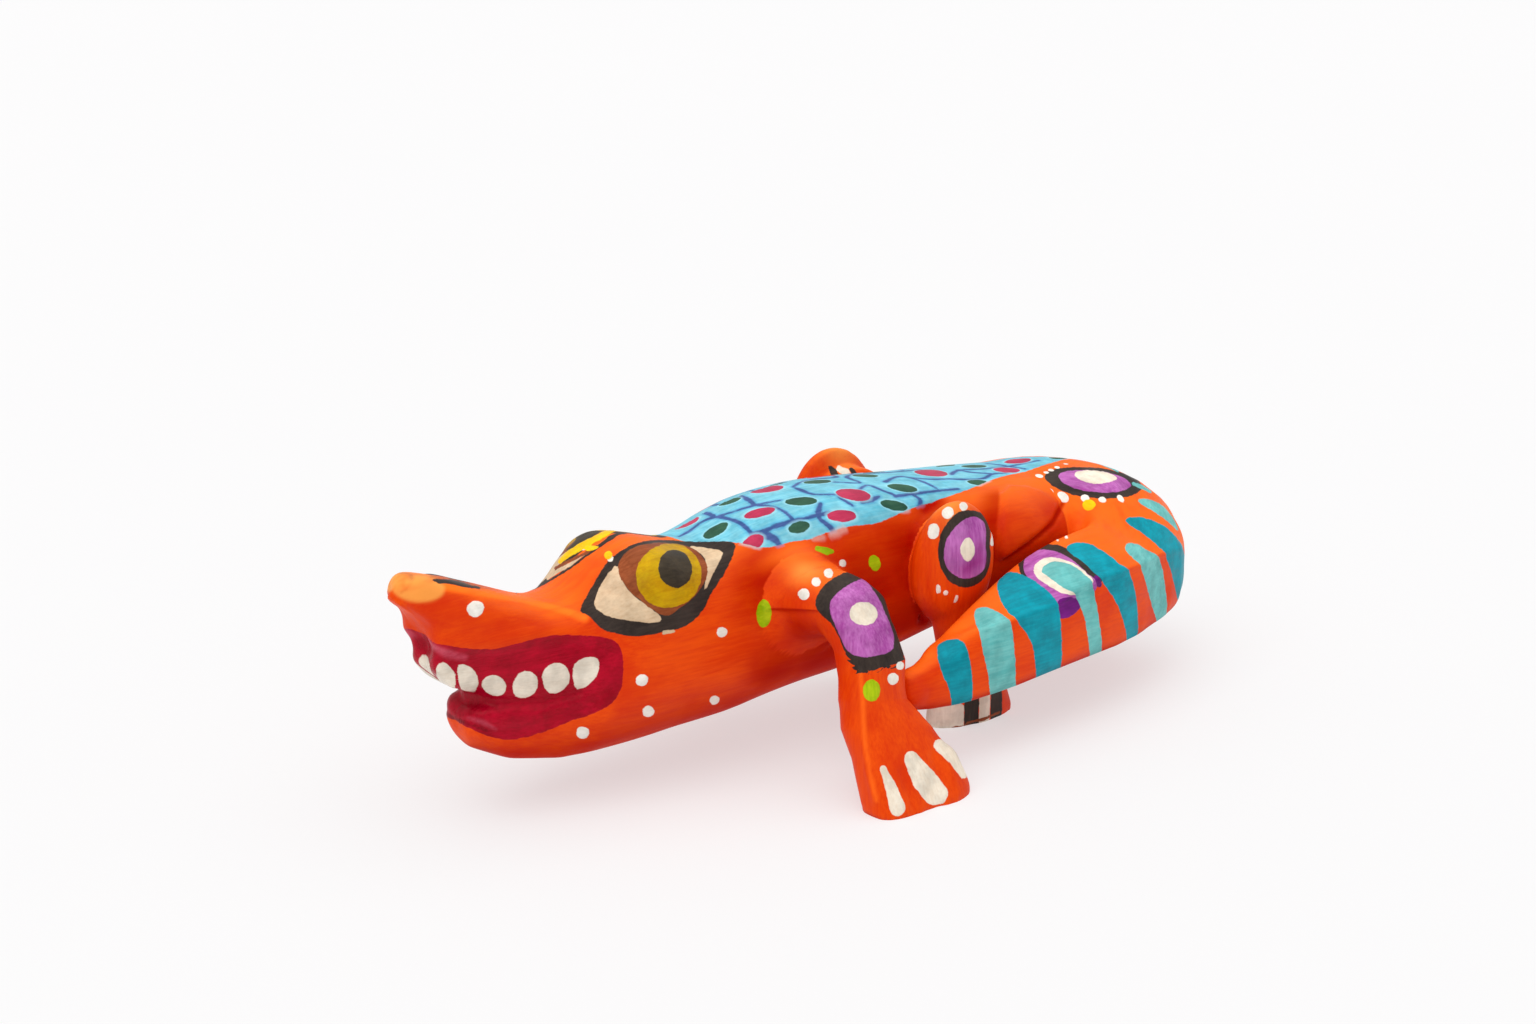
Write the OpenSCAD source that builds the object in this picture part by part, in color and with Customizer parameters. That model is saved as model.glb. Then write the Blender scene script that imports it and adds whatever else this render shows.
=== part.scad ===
// Carved crocodile figure in soft copal wood: a trunk with its head, a curled tail and
// four legs, each carved apart, pegged and glued on, with sawdust paste round the joints.
// The figure stands on z = 0 with its nose towards -X. Its left side is towards -Y, and
// the tail curls round on that side. Stations along the body are distances from the nose.

/* [Figure] */
// Length from the tip of the nose to the outside of the tail's bend
figure_length = 186; // [160:1:220]
// Width of the trunk at its widest
trunk_width = 36; // [32:0.5:40]
// Height of the back above the ground
back_height = 51; // [45:0.5:60]

/* [Leg joints] */
// Diameter of the round root of each leg
root_diameter = 17; // [15:0.5:17.5]
// Width of the ring of paste round each root
paste_width = 2.2; // [1.5:0.1:3]
// Diameter of the peg in each leg
peg_diameter = 5; // [3:0.5:6]
// Length of the peg in each leg
peg_length = 16; // [12:1:18]

/* [Tail joint] */
// Thickness of the layer of paste between the trunk and the tail
tail_paste = 1; // [0.5:0.1:2]
// Diameter of each of the two dowels
dowel_diameter = 6; // [4:0.5:8]
// Length of each dowel
dowel_length = 26; // [16:1:30]

/* [Hidden] */

paint_orange = [0.93, 0.30, 0.05];
paste_tan = [0.85, 0.66, 0.42];
bare_wood = [0.80, 0.62, 0.38];

// Glue gap round a peg or dowel, and the end chamfer that helps it in
glue_gap = 0.05;
peg_chamfer = 0.6;
// Extra depth of each cut past the face that it opens
past = 5;

// The tables below hold the figure at these sizes, and are stretched to the sizes above
table_size = [186, 36, 51];
stretch = [figure_length / table_size.x, trunk_width / table_size.y, back_height / table_size.z];

// Where the trunk ends, as a distance from the nose
trunk_end = 151;
// The vertical edge that the tail turns round, as [station, y]
tail_pivot = [trunk_end + tail_paste / stretch.x, -18.5];
// Height and side offset of the two dowels
dowel_z = 30;
dowel_y = 7;

// The height of the seats that the tables of the front and hind legs start from
front_table_z = 33;
hind_table_z = 34;

// The middle of each leg's seat in the trunk's side: [station, y, z]. The right legs stand
// a little further back than the left ones.
front_left_seat = [83, 14.5, front_table_z];
front_right_seat = [87, 14.5, 31.6];
hind_left_seat = [119, 14.5, hind_table_z];
hind_right_seat = [121.5, 14.5, 34.8];

// How far the ring of paste stands out of its seat, at its outer rim and at its inner lip
front_rim = 2.8;
front_lip = 3.5;
hind_rim = 2.4;
hind_lip = 2.7;

trunk_sides = 40;
tail_sides = 32;
leg_sides = 24;
peg_sides = 48;
// Distances between rings in the head, in the rest of the trunk and along the tail's limb, and
// the turn between rings where the tail fans
head_step = 2;
trunk_step = 3.5;
limb_step = 2.7;
fan_step = 9;
// Rings close together at the tip of the nose, and where the even steps start and change
nose_rings = [0, 0.5, 1.5];
head_from = 3;
head_to = 60;
limb_from = 3;

// Trunk and head: [station, half width, bottom, top, squareness]
BODY = [
    [0, 3.6, 13.6, 47.8, 2.3],
    [1, 5.2, 13.0, 49.4, 2.3],
    [3, 6.7, 12.0, 50.6, 2.4],
    [6, 7.7, 10.9, 50.6, 2.4],
    [10, 8.6, 10.1, 49.6, 2.4],
    [14, 9.4, 9.6, 48.2, 2.4],
    [19, 10.6, 9.0, 45.8, 2.3],
    [27, 12.0, 8.6, 41.8, 2.2],
    [33, 13.3, 8.6, 40.4, 2.1],
    [39, 14.8, 8.6, 41.2, 2.1],
    [47, 16.2, 8.6, 45.6, 2.1],
    [54, 16.8, 8.8, 47.8, 2.1],
    [60, 16.8, 9.2, 46.8, 2.1],
    [66, 16.7, 9.6, 45.4, 2.2],
    [72, 16.8, 10.1, 46.2, 2.3],
    [79, 17.1, 11.3, 48.2, 2.4],
    [87, 17.7, 12.5, 49.4, 2.5],
    [99, 18.0, 13.5, 49.6, 2.6],
    [111, 17.8, 15.0, 48.6, 2.6],
    [123, 17.6, 17.2, 47.0, 2.6],
    [137, 17.5, 17.6, 45.4, 2.6],
    [151, 17.2, 16.0, 43.8, 2.6]
];

// The outline of the face from the side: how far each height is set back from the nose
FACE = [
    [6, 30.0],
    [9, 24.0],
    [12, 18.6],
    [15, 16.0],
    [18, 15.0],
    [21, 15.2],
    [23.5, 16.0],
    [25.6, 17.6],
    [27.2, 16.8],
    [30, 9.8],
    [34, 8.4],
    [38, 7.0],
    [41.5, 5.0],
    [44, 2.0],
    [46, 0.4],
    [49, 0.2],
    [56, 1.0]
];
// Where along the body the outline of the face has died away
face_depth = 40;

// Swellings of the nose, eyes and hips, and the hollow along the mouth, the same on both
// sides: [[station, y, z], radius, height, direction]
SWELLINGS = [
    [[5, 5, 50.5], 3.6, 0.8, [-0.2, 0.4, 0.9]],
    [[52, 12.5, 45], 8, 2.8, [-0.3, 0.65, 0.7]],
    [[140, 17, 37], 7, 1.8, [0, 1, 0.1]],
    [[17, 9.5, 33], 5.5, -0.9, [0, 1, 0]],
    [[24, 11, 32.5], 5.5, -0.9, [0, 1, 0]],
    [[31, 12.5, 32], 5.5, -0.9, [0, 1, 0]],
    [[38, 14, 31], 5.5, -0.8, [0, 1, 0]]
];

// The tail where it fans round its pivot:
// [turn, inner radius, outer radius, bottom, inner top, middle top, outer top, squareness]
FAN = [
    [0, 1.3, 35.7, 16.0, 43.8, 43.8, 43.8, 2.6],
    [20, 1.3, 36.2, 15.2, 42.4, 43.8, 42.0, 2.7],
    [40, 1.3, 36.8, 14.0, 40.6, 43.4, 38.4, 2.9],
    [56, 1.3, 37.0, 13.2, 39.6, 42.6, 35.6, 3.1],
    [71, 1.3, 36.4, 12.6, 39.0, 41.2, 33.2, 3.3],
    [84, 1.3, 33.8, 12.4, 38.6, 39.4, 31.4, 3.5],
    [96, 1.3, 28.2, 12.4, 38.4, 37.0, 29.8, 3.7],
    [108, 1.3, 22.2, 12.6, 38.2, 35.4, 29.0, 3.9],
    [122, 1.3, 17.6, 12.8, 38.0, 34.6, 28.8, 4.0],
    [145, 1.3, 14.8, 13.0, 37.8, 34.4, 29.2, 4.2],
    [165, 1.3, 14.2, 13.2, 37.6, 34.4, 29.4, 4.2],
    [180, 1.3, 14.8, 13.2, 37.5, 34.4, 29.6, 4.2]
];

// The tail's free limb, from its root forward to its tip:
// [distance ahead of the pivot, inner y, outer y, bottom, inner top, middle top, outer top, squareness]
LIMB = [
    [0, -19.8, -33.3, 13.2, 37.5, 34.4, 29.6, 4.2],
    [10, -20.4, -35.0, 13.2, 36.2, 34.0, 30.0, 4.2],
    [20, -22.2, -36.2, 13.0, 34.4, 32.4, 29.2, 4.0],
    [31, -25.4, -36.8, 12.5, 31.2, 30.2, 27.4, 3.8],
    [43, -27.6, -36.8, 12.2, 25.8, 26.0, 24.6, 3.2],
    [49, -28.8, -36.4, 12.6, 22.8, 23.2, 22.4, 2.8],
    [54, -30.4, -36.0, 13.4, 21.0, 21.4, 20.8, 2.6],
    [57, -32.2, -35.2, 15.0, 19.4, 19.8, 19.2, 2.4]
];

// Front leg: [y outwards, z, distance behind the seat, half width, half thickness]
FRONT_LEG = [
    [14.5, 33.0, 0, 8.5, 8.5],
    [18.0, 33.0, 0, 8.5, 8.5],
    [22.0, 33.2, 0.6, 8.4, 8.0],
    [26.5, 32.2, 1.4, 8.0, 7.0],
    [30.2, 29.0, 2.0, 7.2, 6.0],
    [33.0, 24.5, 2.4, 6.6, 5.2],
    [35.4, 19.0, 2.8, 6.9, 4.7],
    [38.0, 13.0, 3.6, 8.5, 4.6],
    [40.8, 6.5, 4.8, 10.4, 4.8],
    [43.2, 0.5, 5.6, 11.4, 5.0],
    [44.8, -3.5, 5.9, 11.4, 5.0]
];

// Hind thigh, a rounded boss on the trunk's side:
// [y outwards, distance behind the seat, z, half width, half height]
THIGH = [
    [14.5, 0, 34.0, 8.5, 8.5],
    [17.2, 0, 34.0, 8.5, 8.5],
    [18.2, -0.5, 34.6, 9.6, 11.2],
    [19.8, -1.0, 35.2, 10.2, 12.8],
    [21.6, -1.2, 35.4, 9.8, 12.4],
    [23.4, -1.2, 35.4, 8.2, 10.6],
    [24.6, -1.2, 35.6, 5.4, 7.4],
    [25.1, -1.2, 35.6, 2.4, 3.4]
];

// Hind shin and foot, from the knee down: [z, distance behind the seat, y outwards, half length, half width]
SHIN = [
    [31.0, -0.5, 20.9, 5.0, 2.4],
    [28.0, -0.2, 20.9, 7.4, 3.4],
    [23.0, 1.4, 20.6, 7.2, 3.3],
    [17.0, 3.4, 19.4, 6.8, 3.7],
    [11.0, 5.4, 17.6, 7.4, 4.2],
    [5.5, 7.2, 16.2, 9.4, 4.6],
    [0.5, 8.2, 15.6, 10.6, 4.8],
    [-3.0, 8.4, 15.6, 10.8, 4.8]
];
// Half length of the right hind foot, as a part of the left one's
right_foot = 0.74;
// Height where a shorter foot starts to differ from the table
ankle_z = 17;
// How much each further ring of the front leg turns towards the front, and how much squarer it is
toe_turn = 0.014;
squarer = 0.125;

// A point of the tables, at the sizes asked for, in the figure's own frame
function place(p) = [
    p.x * stretch.x - figure_length / 2,
    p.y * stretch.y,
    p.z * stretch.z
];

// Smooth reading of column c of a table whose first column rises
function row_before(t, x, i = 0) = i >= len(t) - 2 || x < t[i + 1][0] ? i : row_before(t, x, i + 1);
function slope(t, c, i) = let(a = max(i - 1, 0), b = min(i + 1, len(t) - 1))
    (t[b][c] - t[a][c]) / (t[b][0] - t[a][0]);
function read(t, c, x) = let(
    i = row_before(t, x),
    h = t[i + 1][0] - t[i][0],
    s = (x - t[i][0]) / h,
    a = t[i][c],
    b = t[i + 1][c],
    da = slope(t, c, i) * h,
    db = slope(t, c, i + 1) * h
) a + s * (da + s * (3 * (b - a) - 2 * da - db + s * (2 * (a - b) + da + db)));

// A signed power, for the corners of a squared circle
function corner(v, n) = sign(v) * pow(abs(v), 2 / n);
function angles(sides) = [for (i = [0 : sides - 1]) 360 * (i + 0.5) / sides];

// Where a point goes when the swellings push it, the same on both sides
function pushed(p, side) = p + [for (axis = [0 : 2])
    let(flip = axis == 1 ? side : 1)
    flip * [for (s = SWELLINGS)
        let(c = [s[0].x, side * s[0].y, s[0].z])
        s[2] * exp(-pow(norm(p - c) / s[1], 2)) * s[3][axis]
    ] * [for (s = SWELLINGS) 1]
];

// One ring across the body, set back at the front by the outline of the face
function body_ring(x) = let(
    half = read(BODY, 1, x),
    low = read(BODY, 2, x),
    high = read(BODY, 3, x),
    n = read(BODY, 4, x)
) [for (a = angles(trunk_sides))
    let(z = (low + high) / 2 + (high - low) / 2 * corner(sin(a), n),
        back = read(FACE, 1, z) * max(0, 1 - x / face_depth),
        p = [x + back, half * corner(cos(a), n), z])
    place(pushed(p, p.y < 0 ? -1 : 1))
];

// The height of the tail's top from its inner edge, u = -1, to its outer edge, u = 1
function top_at(inner, middle, outer, u) =
    inner * u * (u - 1) / 2 + middle * (1 - u * u) + outer * u * (u + 1) / 2;
function tail_section(low, inner, middle, outer, n) = [for (a = angles(tail_sides))
    let(u = corner(cos(a), n), v = corner(sin(a), n))
    [u, low + (top_at(inner, middle, outer, u) - low) * (v + 1) / 2]
];
function fan_ring(turn) = let(
    near = read(FAN, 1, turn),
    far = read(FAN, 2, turn),
    n = read(FAN, 7, turn),
    s = tail_section(read(FAN, 3, turn), read(FAN, 4, turn), read(FAN, 5, turn), read(FAN, 6, turn), n)
) [for (q = s)
    let(r = near + (far - near) * (q.x + 1) / 2)
    place([tail_pivot.x + r * sin(turn), tail_pivot.y + r * cos(turn), q.y])
];
function limb_ring(ahead) = let(
    inner = read(LIMB, 1, ahead),
    outer = read(LIMB, 2, ahead),
    n = read(LIMB, 7, ahead),
    s = tail_section(
        read(LIMB, 3, ahead), read(LIMB, 4, ahead), read(LIMB, 5, ahead), read(LIMB, 6, ahead), n
    )
) [for (q = s) place([tail_pivot.x - ahead, inner + (outer - inner) * (q.x + 1) / 2, q.y])];

// One ring across the front leg, square to its middle line. The toes turn a little forward.
function front_ring(seat, i) = let(
    r = FRONT_LEG[i],
    a = FRONT_LEG[max(i - 1, 0)],
    b = FRONT_LEG[min(i + 1, len(FRONT_LEG) - 1)],
    along = i == 0 ? [1, 0] : [b[0] - a[0], b[1] - a[1]] / norm([b[0] - a[0], b[1] - a[1]]),
    across = [-along.y, along.x],
    n = 2 + i * squarer,
    z = r[1] * (1 + (seat.z / front_table_z - 1) * min(1, max(0, r[1] / front_table_z)))
) [for (t = angles(leg_sides))
    let(w = r[3] * corner(cos(t), n), h = r[4] * corner(sin(t), n))
    place([seat.x + r[2] + w, r[0] + h * across.x - toe_turn * i * w, z + h * across.y])
];
function thigh_ring(seat, r) = [for (t = angles(leg_sides))
    place([seat.x + r[1] + r[3] * cos(t), r[0], seat.z - hind_table_z + r[2] + r[4] * sin(t)])
];
function shin_ring(seat, r, foot) = let(part = 1 + (foot - 1) * max(0, 1 - r[0] / ankle_z))
[for (t = angles(leg_sides))
    place([seat.x + r[1] + part * r[3] * cos(t), r[2] + r[4] * sin(t), r[0]])
];

// Numbers from a to b with an even step of about the size asked for
function steps(a, b, step) = let(n = ceil((b - a) / step)) [for (i = [0 : n]) a + (b - a) * i / n];

// A closed skin over a row of rings, each with points at angles(n). A cap is a ladder of
// strips between each point and the one across from it.
module loft(rings) {
    n = len(rings[0]);
    last = (len(rings) - 1) * n;
    sides = [for (i = [0 : len(rings) - 2], j = [0 : n - 1])
        let(a = i * n + j, b = i * n + (j + 1) % n, c = a + n, d = b + n)
        each [[a, b, c], [b, d, c]]
    ];
    caps = [for (i = [0 : n / 2 - 2])
        let(
            a = (i + n * 3 / 4) % n,
            b = (a + 1) % n,
            c = (n * 3 / 2 - 1 - b) % n,
            d = (n * 3 / 2 - 1 - a) % n
        )
        each [[b, a, d], [c, b, d], [last + a, last + b, last + d], [last + b, last + c, last + d]]
    ];
    polyhedron([for (r = rings) each r], concat(sides, caps));
}

// A round bar along Y through a seat, from y = a to y = b
module bar_y(seat, a, b, d) {
    p = place([seat.x, 0, seat.z]);
    translate([p.x, a, p.z]) rotate([-90, 0, 0]) cylinder(h = b - a, d = d, $fn = peg_sides);
}

// A peg along Z with chamfered ends, standing on z = 0
module peg(d, length) {
    rotate_extrude($fn = peg_sides)
        polygon([
            [0, 0], [d / 2 - peg_chamfer, 0], [d / 2, peg_chamfer],
            [d / 2, length - peg_chamfer], [d / 2 - peg_chamfer, length], [0, length]
        ]);
}

// How far out each seat's flat floor lies
function seat_y(seat) = seat.y * stretch.y;

// Everything that is cut out of the trunk's left or right side for one leg
module seat_cut(seat) {
    bar_y(seat, seat_y(seat), seat_y(seat) + 2 * past, root_diameter + 2 * paste_width);
    bar_y(seat, seat_y(seat) - peg_length / 2 - glue_gap, seat_y(seat) + past,
        peg_diameter + 2 * glue_gap);
}

module dowel_holes() {
    for (side = [-1, 1]) {
        p = place([trunk_end, side * dowel_y, dowel_z]);
        translate([p.x + tail_paste / 2 - dowel_length / 2 - glue_gap, p.y, p.z])
            rotate([0, 90, 0])
            cylinder(h = dowel_length + 2 * glue_gap, d = dowel_diameter + 2 * glue_gap, $fn = peg_sides);
    }
}

module trunk() {
    color(paint_orange)
    difference() {
        loft([for (x = concat(
            nose_rings,
            steps(head_from, head_to, head_step),
            steps(head_to + trunk_step, trunk_end, trunk_step)
        )) body_ring(x)]);
        seat_cut(front_right_seat);
        seat_cut(hind_right_seat);
        left() {
            seat_cut(front_left_seat);
            seat_cut(hind_left_seat);
        }
        dowel_holes();
    }
}

module tail() {
    color(paint_orange)
    difference() {
        loft(concat(
            [for (turn = steps(0, 180, fan_step)) fan_ring(turn)],
            [for (ahead = steps(limb_from, LIMB[len(LIMB) - 1][0], limb_step)) limb_ring(ahead)]
        ));
        dowel_holes();
    }
}

module tail_dowels() {
    color(bare_wood)
    for (side = [-1, 1]) {
        p = place([trunk_end, side * dowel_y, dowel_z]);
        translate([p.x + tail_paste / 2 - dowel_length / 2, p.y, p.z])
            rotate([0, 90, 0]) peg(dowel_diameter, dowel_length);
    }
}

module tail_paste_layer() {
    color(paste_tan)
    difference() {
        loft([for (step = [0, tail_paste]) [for (p = body_ring(trunk_end)) p + [step, 0, 0]]]);
        dowel_holes();
    }
}

// The bore for a leg's peg, in the leg
module leg_bore(seat) {
    bar_y(seat, seat_y(seat) - past, seat_y(seat) + peg_length / 2 + glue_gap,
        peg_diameter + 2 * glue_gap);
}

// Everything below the ground, which leaves each sole flat
module ground() {
    translate([-figure_length, -figure_length, -2 * past])
        cube([2 * figure_length, 2 * figure_length, 2 * past]);
}

// A front leg on the +Y side
module front_leg(seat) {
    color(paint_orange)
    difference() {
        loft([for (i = [0 : len(FRONT_LEG) - 1]) front_ring(seat, i)]);
        leg_bore(seat);
        ground();
    }
}

// A hind leg on the +Y side
module hind_leg(seat, foot) {
    color(paint_orange)
    difference() {
        union() {
            loft([for (r = THIGH) thigh_ring(seat, r)]);
            loft([for (r = SHIN) shin_ring(seat, r, foot)]);
        }
        leg_bore(seat);
        ground();
    }
}

module leg_peg(seat) {
    p = place([seat.x, seat.y, seat.z]);
    color(bare_wood)
    translate([p.x, p.y - peg_length / 2, p.z]) rotate([-90, 0, 0]) peg(peg_diameter, peg_length);
}

// The ring of paste round a leg's root, with a sloping outer face
module leg_paste(seat, rim, lip) {
    p = place([seat.x, seat.y, seat.z]);
    inner = root_diameter / 2 + glue_gap;
    outer = root_diameter / 2 + paste_width;
    color(paste_tan)
    translate(p) rotate([-90, 0, 0])
        rotate_extrude($fn = 2 * peg_sides)
        polygon([[inner, 0], [outer, 0], [outer, rim], [inner, lip]]);
}

module left() {
    mirror([0, 1, 0]) children();
}

trunk();
tail();
tail_dowels();
tail_paste_layer();
left() front_leg(front_left_seat);  // front_left_leg
front_leg(front_right_seat);  // front_right_leg
left() hind_leg(hind_left_seat, 1);  // hind_left_leg
hind_leg(hind_right_seat, right_foot);  // hind_right_leg
left() leg_peg(front_left_seat);  // front_left_peg
leg_peg(front_right_seat);  // front_right_peg
left() leg_peg(hind_left_seat);  // hind_left_peg
leg_peg(hind_right_seat);  // hind_right_peg
left() leg_paste(front_left_seat, front_rim, front_lip);  // front_left_paste
leg_paste(front_right_seat, front_rim, front_lip);  // front_right_paste
left() leg_paste(hind_left_seat, hind_rim, hind_lip);  // hind_left_paste
leg_paste(hind_right_seat, hind_rim, hind_lip);  // hind_right_paste
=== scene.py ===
"""Looks of the carved crocodile: carved skin, brushed acrylic paint, floor, light and camera."""

import bpy
import math
import numpy as np
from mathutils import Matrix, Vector
from mathutils.bvhtree import BVHTree


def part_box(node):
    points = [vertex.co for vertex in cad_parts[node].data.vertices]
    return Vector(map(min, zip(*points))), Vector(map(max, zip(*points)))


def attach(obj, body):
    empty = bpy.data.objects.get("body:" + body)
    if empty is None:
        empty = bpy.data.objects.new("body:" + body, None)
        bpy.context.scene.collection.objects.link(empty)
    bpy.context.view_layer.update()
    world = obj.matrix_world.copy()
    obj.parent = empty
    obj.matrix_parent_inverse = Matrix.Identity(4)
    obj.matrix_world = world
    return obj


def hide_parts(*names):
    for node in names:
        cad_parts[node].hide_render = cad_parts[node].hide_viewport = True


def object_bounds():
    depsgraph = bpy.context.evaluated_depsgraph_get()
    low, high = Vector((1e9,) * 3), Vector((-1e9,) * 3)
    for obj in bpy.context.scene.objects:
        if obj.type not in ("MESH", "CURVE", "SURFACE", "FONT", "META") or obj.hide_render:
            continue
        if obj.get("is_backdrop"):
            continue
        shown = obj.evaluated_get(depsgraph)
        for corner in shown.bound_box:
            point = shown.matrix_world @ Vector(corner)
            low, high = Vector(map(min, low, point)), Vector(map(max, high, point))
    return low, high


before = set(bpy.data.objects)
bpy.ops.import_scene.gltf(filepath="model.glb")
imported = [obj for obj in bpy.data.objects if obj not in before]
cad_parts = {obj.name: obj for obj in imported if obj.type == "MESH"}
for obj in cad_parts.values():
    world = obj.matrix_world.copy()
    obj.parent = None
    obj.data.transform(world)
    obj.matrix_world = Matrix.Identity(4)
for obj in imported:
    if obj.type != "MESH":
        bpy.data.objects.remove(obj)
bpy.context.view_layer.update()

MM = 0.001
WOOD = ("trunk", "tail", "front_left_leg", "front_right_leg", "hind_left_leg", "hind_right_leg")
LEGS = ("front_left", "front_right", "hind_left", "hind_right")
PASTES = tuple(leg + "_paste" for leg in LEGS)


def box(node):
    """Lowest and highest corner of a CAD node, in millimetres."""
    low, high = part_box(node)
    return np.array(low) / MM, np.array(high) / MM


def middle(node):
    low, high = box(node)
    return (low + high) / 2


# ---------------------------------------------------------------- the carved skin

VOXEL = 0.45
SEAM_LOW, SEAM_HIGH = box("tail_paste_layer")
# The upright edge that the tail turns round
PIVOT = np.array([SEAM_HIGH[0], -18.5])


def cad_mesh(names):
    """Vertices in millimetres and triangles of some CAD nodes, as one mesh."""
    points, faces, first = [], [], 0
    for name in names:
        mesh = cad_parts[name].data
        mesh.calc_loop_triangles()
        co = np.empty(len(mesh.vertices) * 3)
        mesh.vertices.foreach_get("co", co)
        tri = np.empty(len(mesh.loop_triangles) * 3, int)
        mesh.loop_triangles.foreach_get("vertices", tri)
        points.append(co.reshape(-1, 3) / MM)
        faces.append(tri.reshape(-1, 3) + first)
        first += len(mesh.vertices)
    return np.concatenate(points), np.concatenate(faces)


def new_mesh(name, points, faces):
    """A mesh from points in millimetres and quads or triangles."""
    mesh = bpy.data.meshes.new(name)
    mesh.from_pydata((np.asarray(points) * MM).tolist(), [], [list(f) for f in faces])
    mesh.update()
    return mesh


def voxel_skin(points, faces, size):
    """One closed skin of quads round all the solids."""
    source = bpy.data.objects.new("skin_source", new_mesh("skin_source", points, faces))
    bpy.context.scene.collection.objects.link(source)
    remesh = source.modifiers.new("skin", "REMESH")
    remesh.mode = "VOXEL"
    remesh.voxel_size = size * MM
    graph = bpy.context.evaluated_depsgraph_get()
    mesh = bpy.data.meshes.new_from_object(source.evaluated_get(graph))
    co = np.empty(len(mesh.vertices) * 3)
    mesh.vertices.foreach_get("co", co)
    quad = np.empty(len(mesh.loops), int)
    mesh.loops.foreach_get("vertex_index", quad)
    bpy.data.objects.remove(source)
    return co.reshape(-1, 3) / MM, quad.reshape(-1, 4)


def edges_of(quads):
    pairs = np.concatenate([quads[:, [i, (i + 1) % 4]] for i in range(4)])
    return np.unique(np.sort(pairs, axis=1), axis=0)


def relax(values, edges, amount, passes):
    """Moves each value towards the mean of its neighbours. amount is a number or one per vertex."""
    n = len(values)
    count = np.bincount(edges.ravel(), minlength=n)[:, None]
    for _ in range(passes):
        total = np.empty_like(values)
        for k in range(values.shape[1]):
            total[:, k] = np.bincount(edges[:, 0], values[edges[:, 1], k], n)
            total[:, k] += np.bincount(edges[:, 1], values[edges[:, 0], k], n)
        values = values + (total / count - values) * amount
    return values


def normals_of(points, quads):
    a, b, c, d = (points[quads[:, i]] for i in range(4))
    face = np.cross(c - a, d - b)
    out = np.zeros_like(points)
    for i in range(4):
        for k in range(3):
            out[:, k] += np.bincount(quads[:, i], face[:, k], len(points))
    return out / np.maximum(np.linalg.norm(out, axis=1), 1e-9)[:, None]


def distance_to(names, points, reach):
    """Distance from each point to the nearest surface of some CAD nodes, at most reach."""
    v, f = cad_mesh(names)
    tree = BVHTree.FromPolygons(v.tolist(), f.tolist())
    low, high = v.min(0) - reach, v.max(0) + reach
    near = np.all((points > low) & (points < high), axis=1)
    out = np.full(len(points), float(reach))
    for i in np.flatnonzero(near):
        hit = tree.find_nearest(Vector(points[i]), reach)
        if hit[3] is not None:
            out[i] = hit[3]
    return out


def smoothstep(low, high, x):
    t = np.clip((x - low) / (high - low), 0, 1)
    return t * t * (3 - 2 * t)


skin_points, skin_quads = voxel_skin(*cad_mesh(WOOD + PASTES + ("tail_paste_layer",)), VOXEL)
skin_edges = edges_of(skin_quads)

# A little smoothing takes the voxel steps away. Each leg's joint becomes a fillet, wide in
# front and tight behind.
front_gap = distance_to(PASTES[:2], skin_points, 6.0)
hind_gap = distance_to(PASTES[2:], skin_points, 6.0)
paste_gap = np.minimum(front_gap, hind_gap)
skin_points = relax(skin_points, skin_edges, 0.5, 12)
skin_points = relax(skin_points, skin_edges, 0.6 * (1 - smoothstep(0.5, 4.5, front_gap))[:, None], 60)
skin_points = relax(skin_points, skin_edges, 0.5 * (1 - smoothstep(0.3, 2.5, hind_gap))[:, None], 12)
# The tail's carved edges stand out crisply
tail_gap = distance_to(["tail"], skin_points, 2.0)
crisp = (1 - smoothstep(0.5, 1.5, tail_gap))[:, None]
skin_points = skin_points + 0.9 * crisp * (skin_points - relax(skin_points, skin_edges, 0.5, 40))
grounded = skin_points[:, 2] < 0.6
skin_points[grounded, 2] = np.minimum(skin_points[grounded, 2], 0.0)

# ---------------------------------------------------------------- places on the figure

# The figure is painted from a three-quarter view of its left side. Shapes on the head, legs
# and tail are drawn in that plane: u to the right and v up, in millimetres. The right side
# is the mirror of the left.
PAINTER = math.radians(-38), math.radians(17.5)


def plane(azimuth, elevation):
    """The right, up and near directions of a view."""
    right = np.array([math.cos(azimuth), math.sin(azimuth), 0])
    near = np.array([
        math.sin(azimuth) * math.cos(elevation),
        -math.cos(azimuth) * math.cos(elevation),
        math.sin(elevation),
    ])
    return right, np.cross(near, right), near


RIGHT, UP, NEAR = plane(*PAINTER)


def stroke(p, rows):
    """Distance to a brush stroke through rows of (u, v, radius) or (u, v)."""
    out = np.full(len(p), 1e3)
    rows = [np.array((*r, 0)[:3], float) for r in rows]
    for a, b in zip(rows, rows[1:] if len(rows) > 1 else rows):
        run = b[:2] - a[:2]
        t = np.clip((p - a[:2]) @ run / max(run @ run, 1e-9), 0, 1)
        gap = np.linalg.norm(p - a[:2] - t[:, None] * run, axis=1)
        out = np.minimum(out, gap - (a[2] + t * (b[2] - a[2])))
    return out


def curved(rows):
    """The same stroke with its corners cut, its ends kept."""
    rows = [np.array(r, float) for r in rows]
    if len(rows) < 3:
        return rows
    for _ in range(2):
        inner = [t * a + (1 - t) * b for a, b in zip(rows, rows[1:]) for t in (0.75, 0.25)]
        rows = [rows[0]] + inner[1:-1] + [rows[-1]]
    return rows


def oval(p, u, v, half_u, half_v, turn=0.0):
    """Distance, nearly, to an oval turned anticlockwise by some degrees."""
    c, s = math.cos(math.radians(turn)), math.sin(math.radians(turn))
    q = (p - (u, v)) @ np.array([[c, -s], [s, c]])
    k = np.linalg.norm(q / (half_u, half_v), axis=1)
    slope = np.linalg.norm(q / (half_u**2, half_v**2), axis=1)
    return k * (k - 1) / np.maximum(slope, 1e-6)


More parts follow.
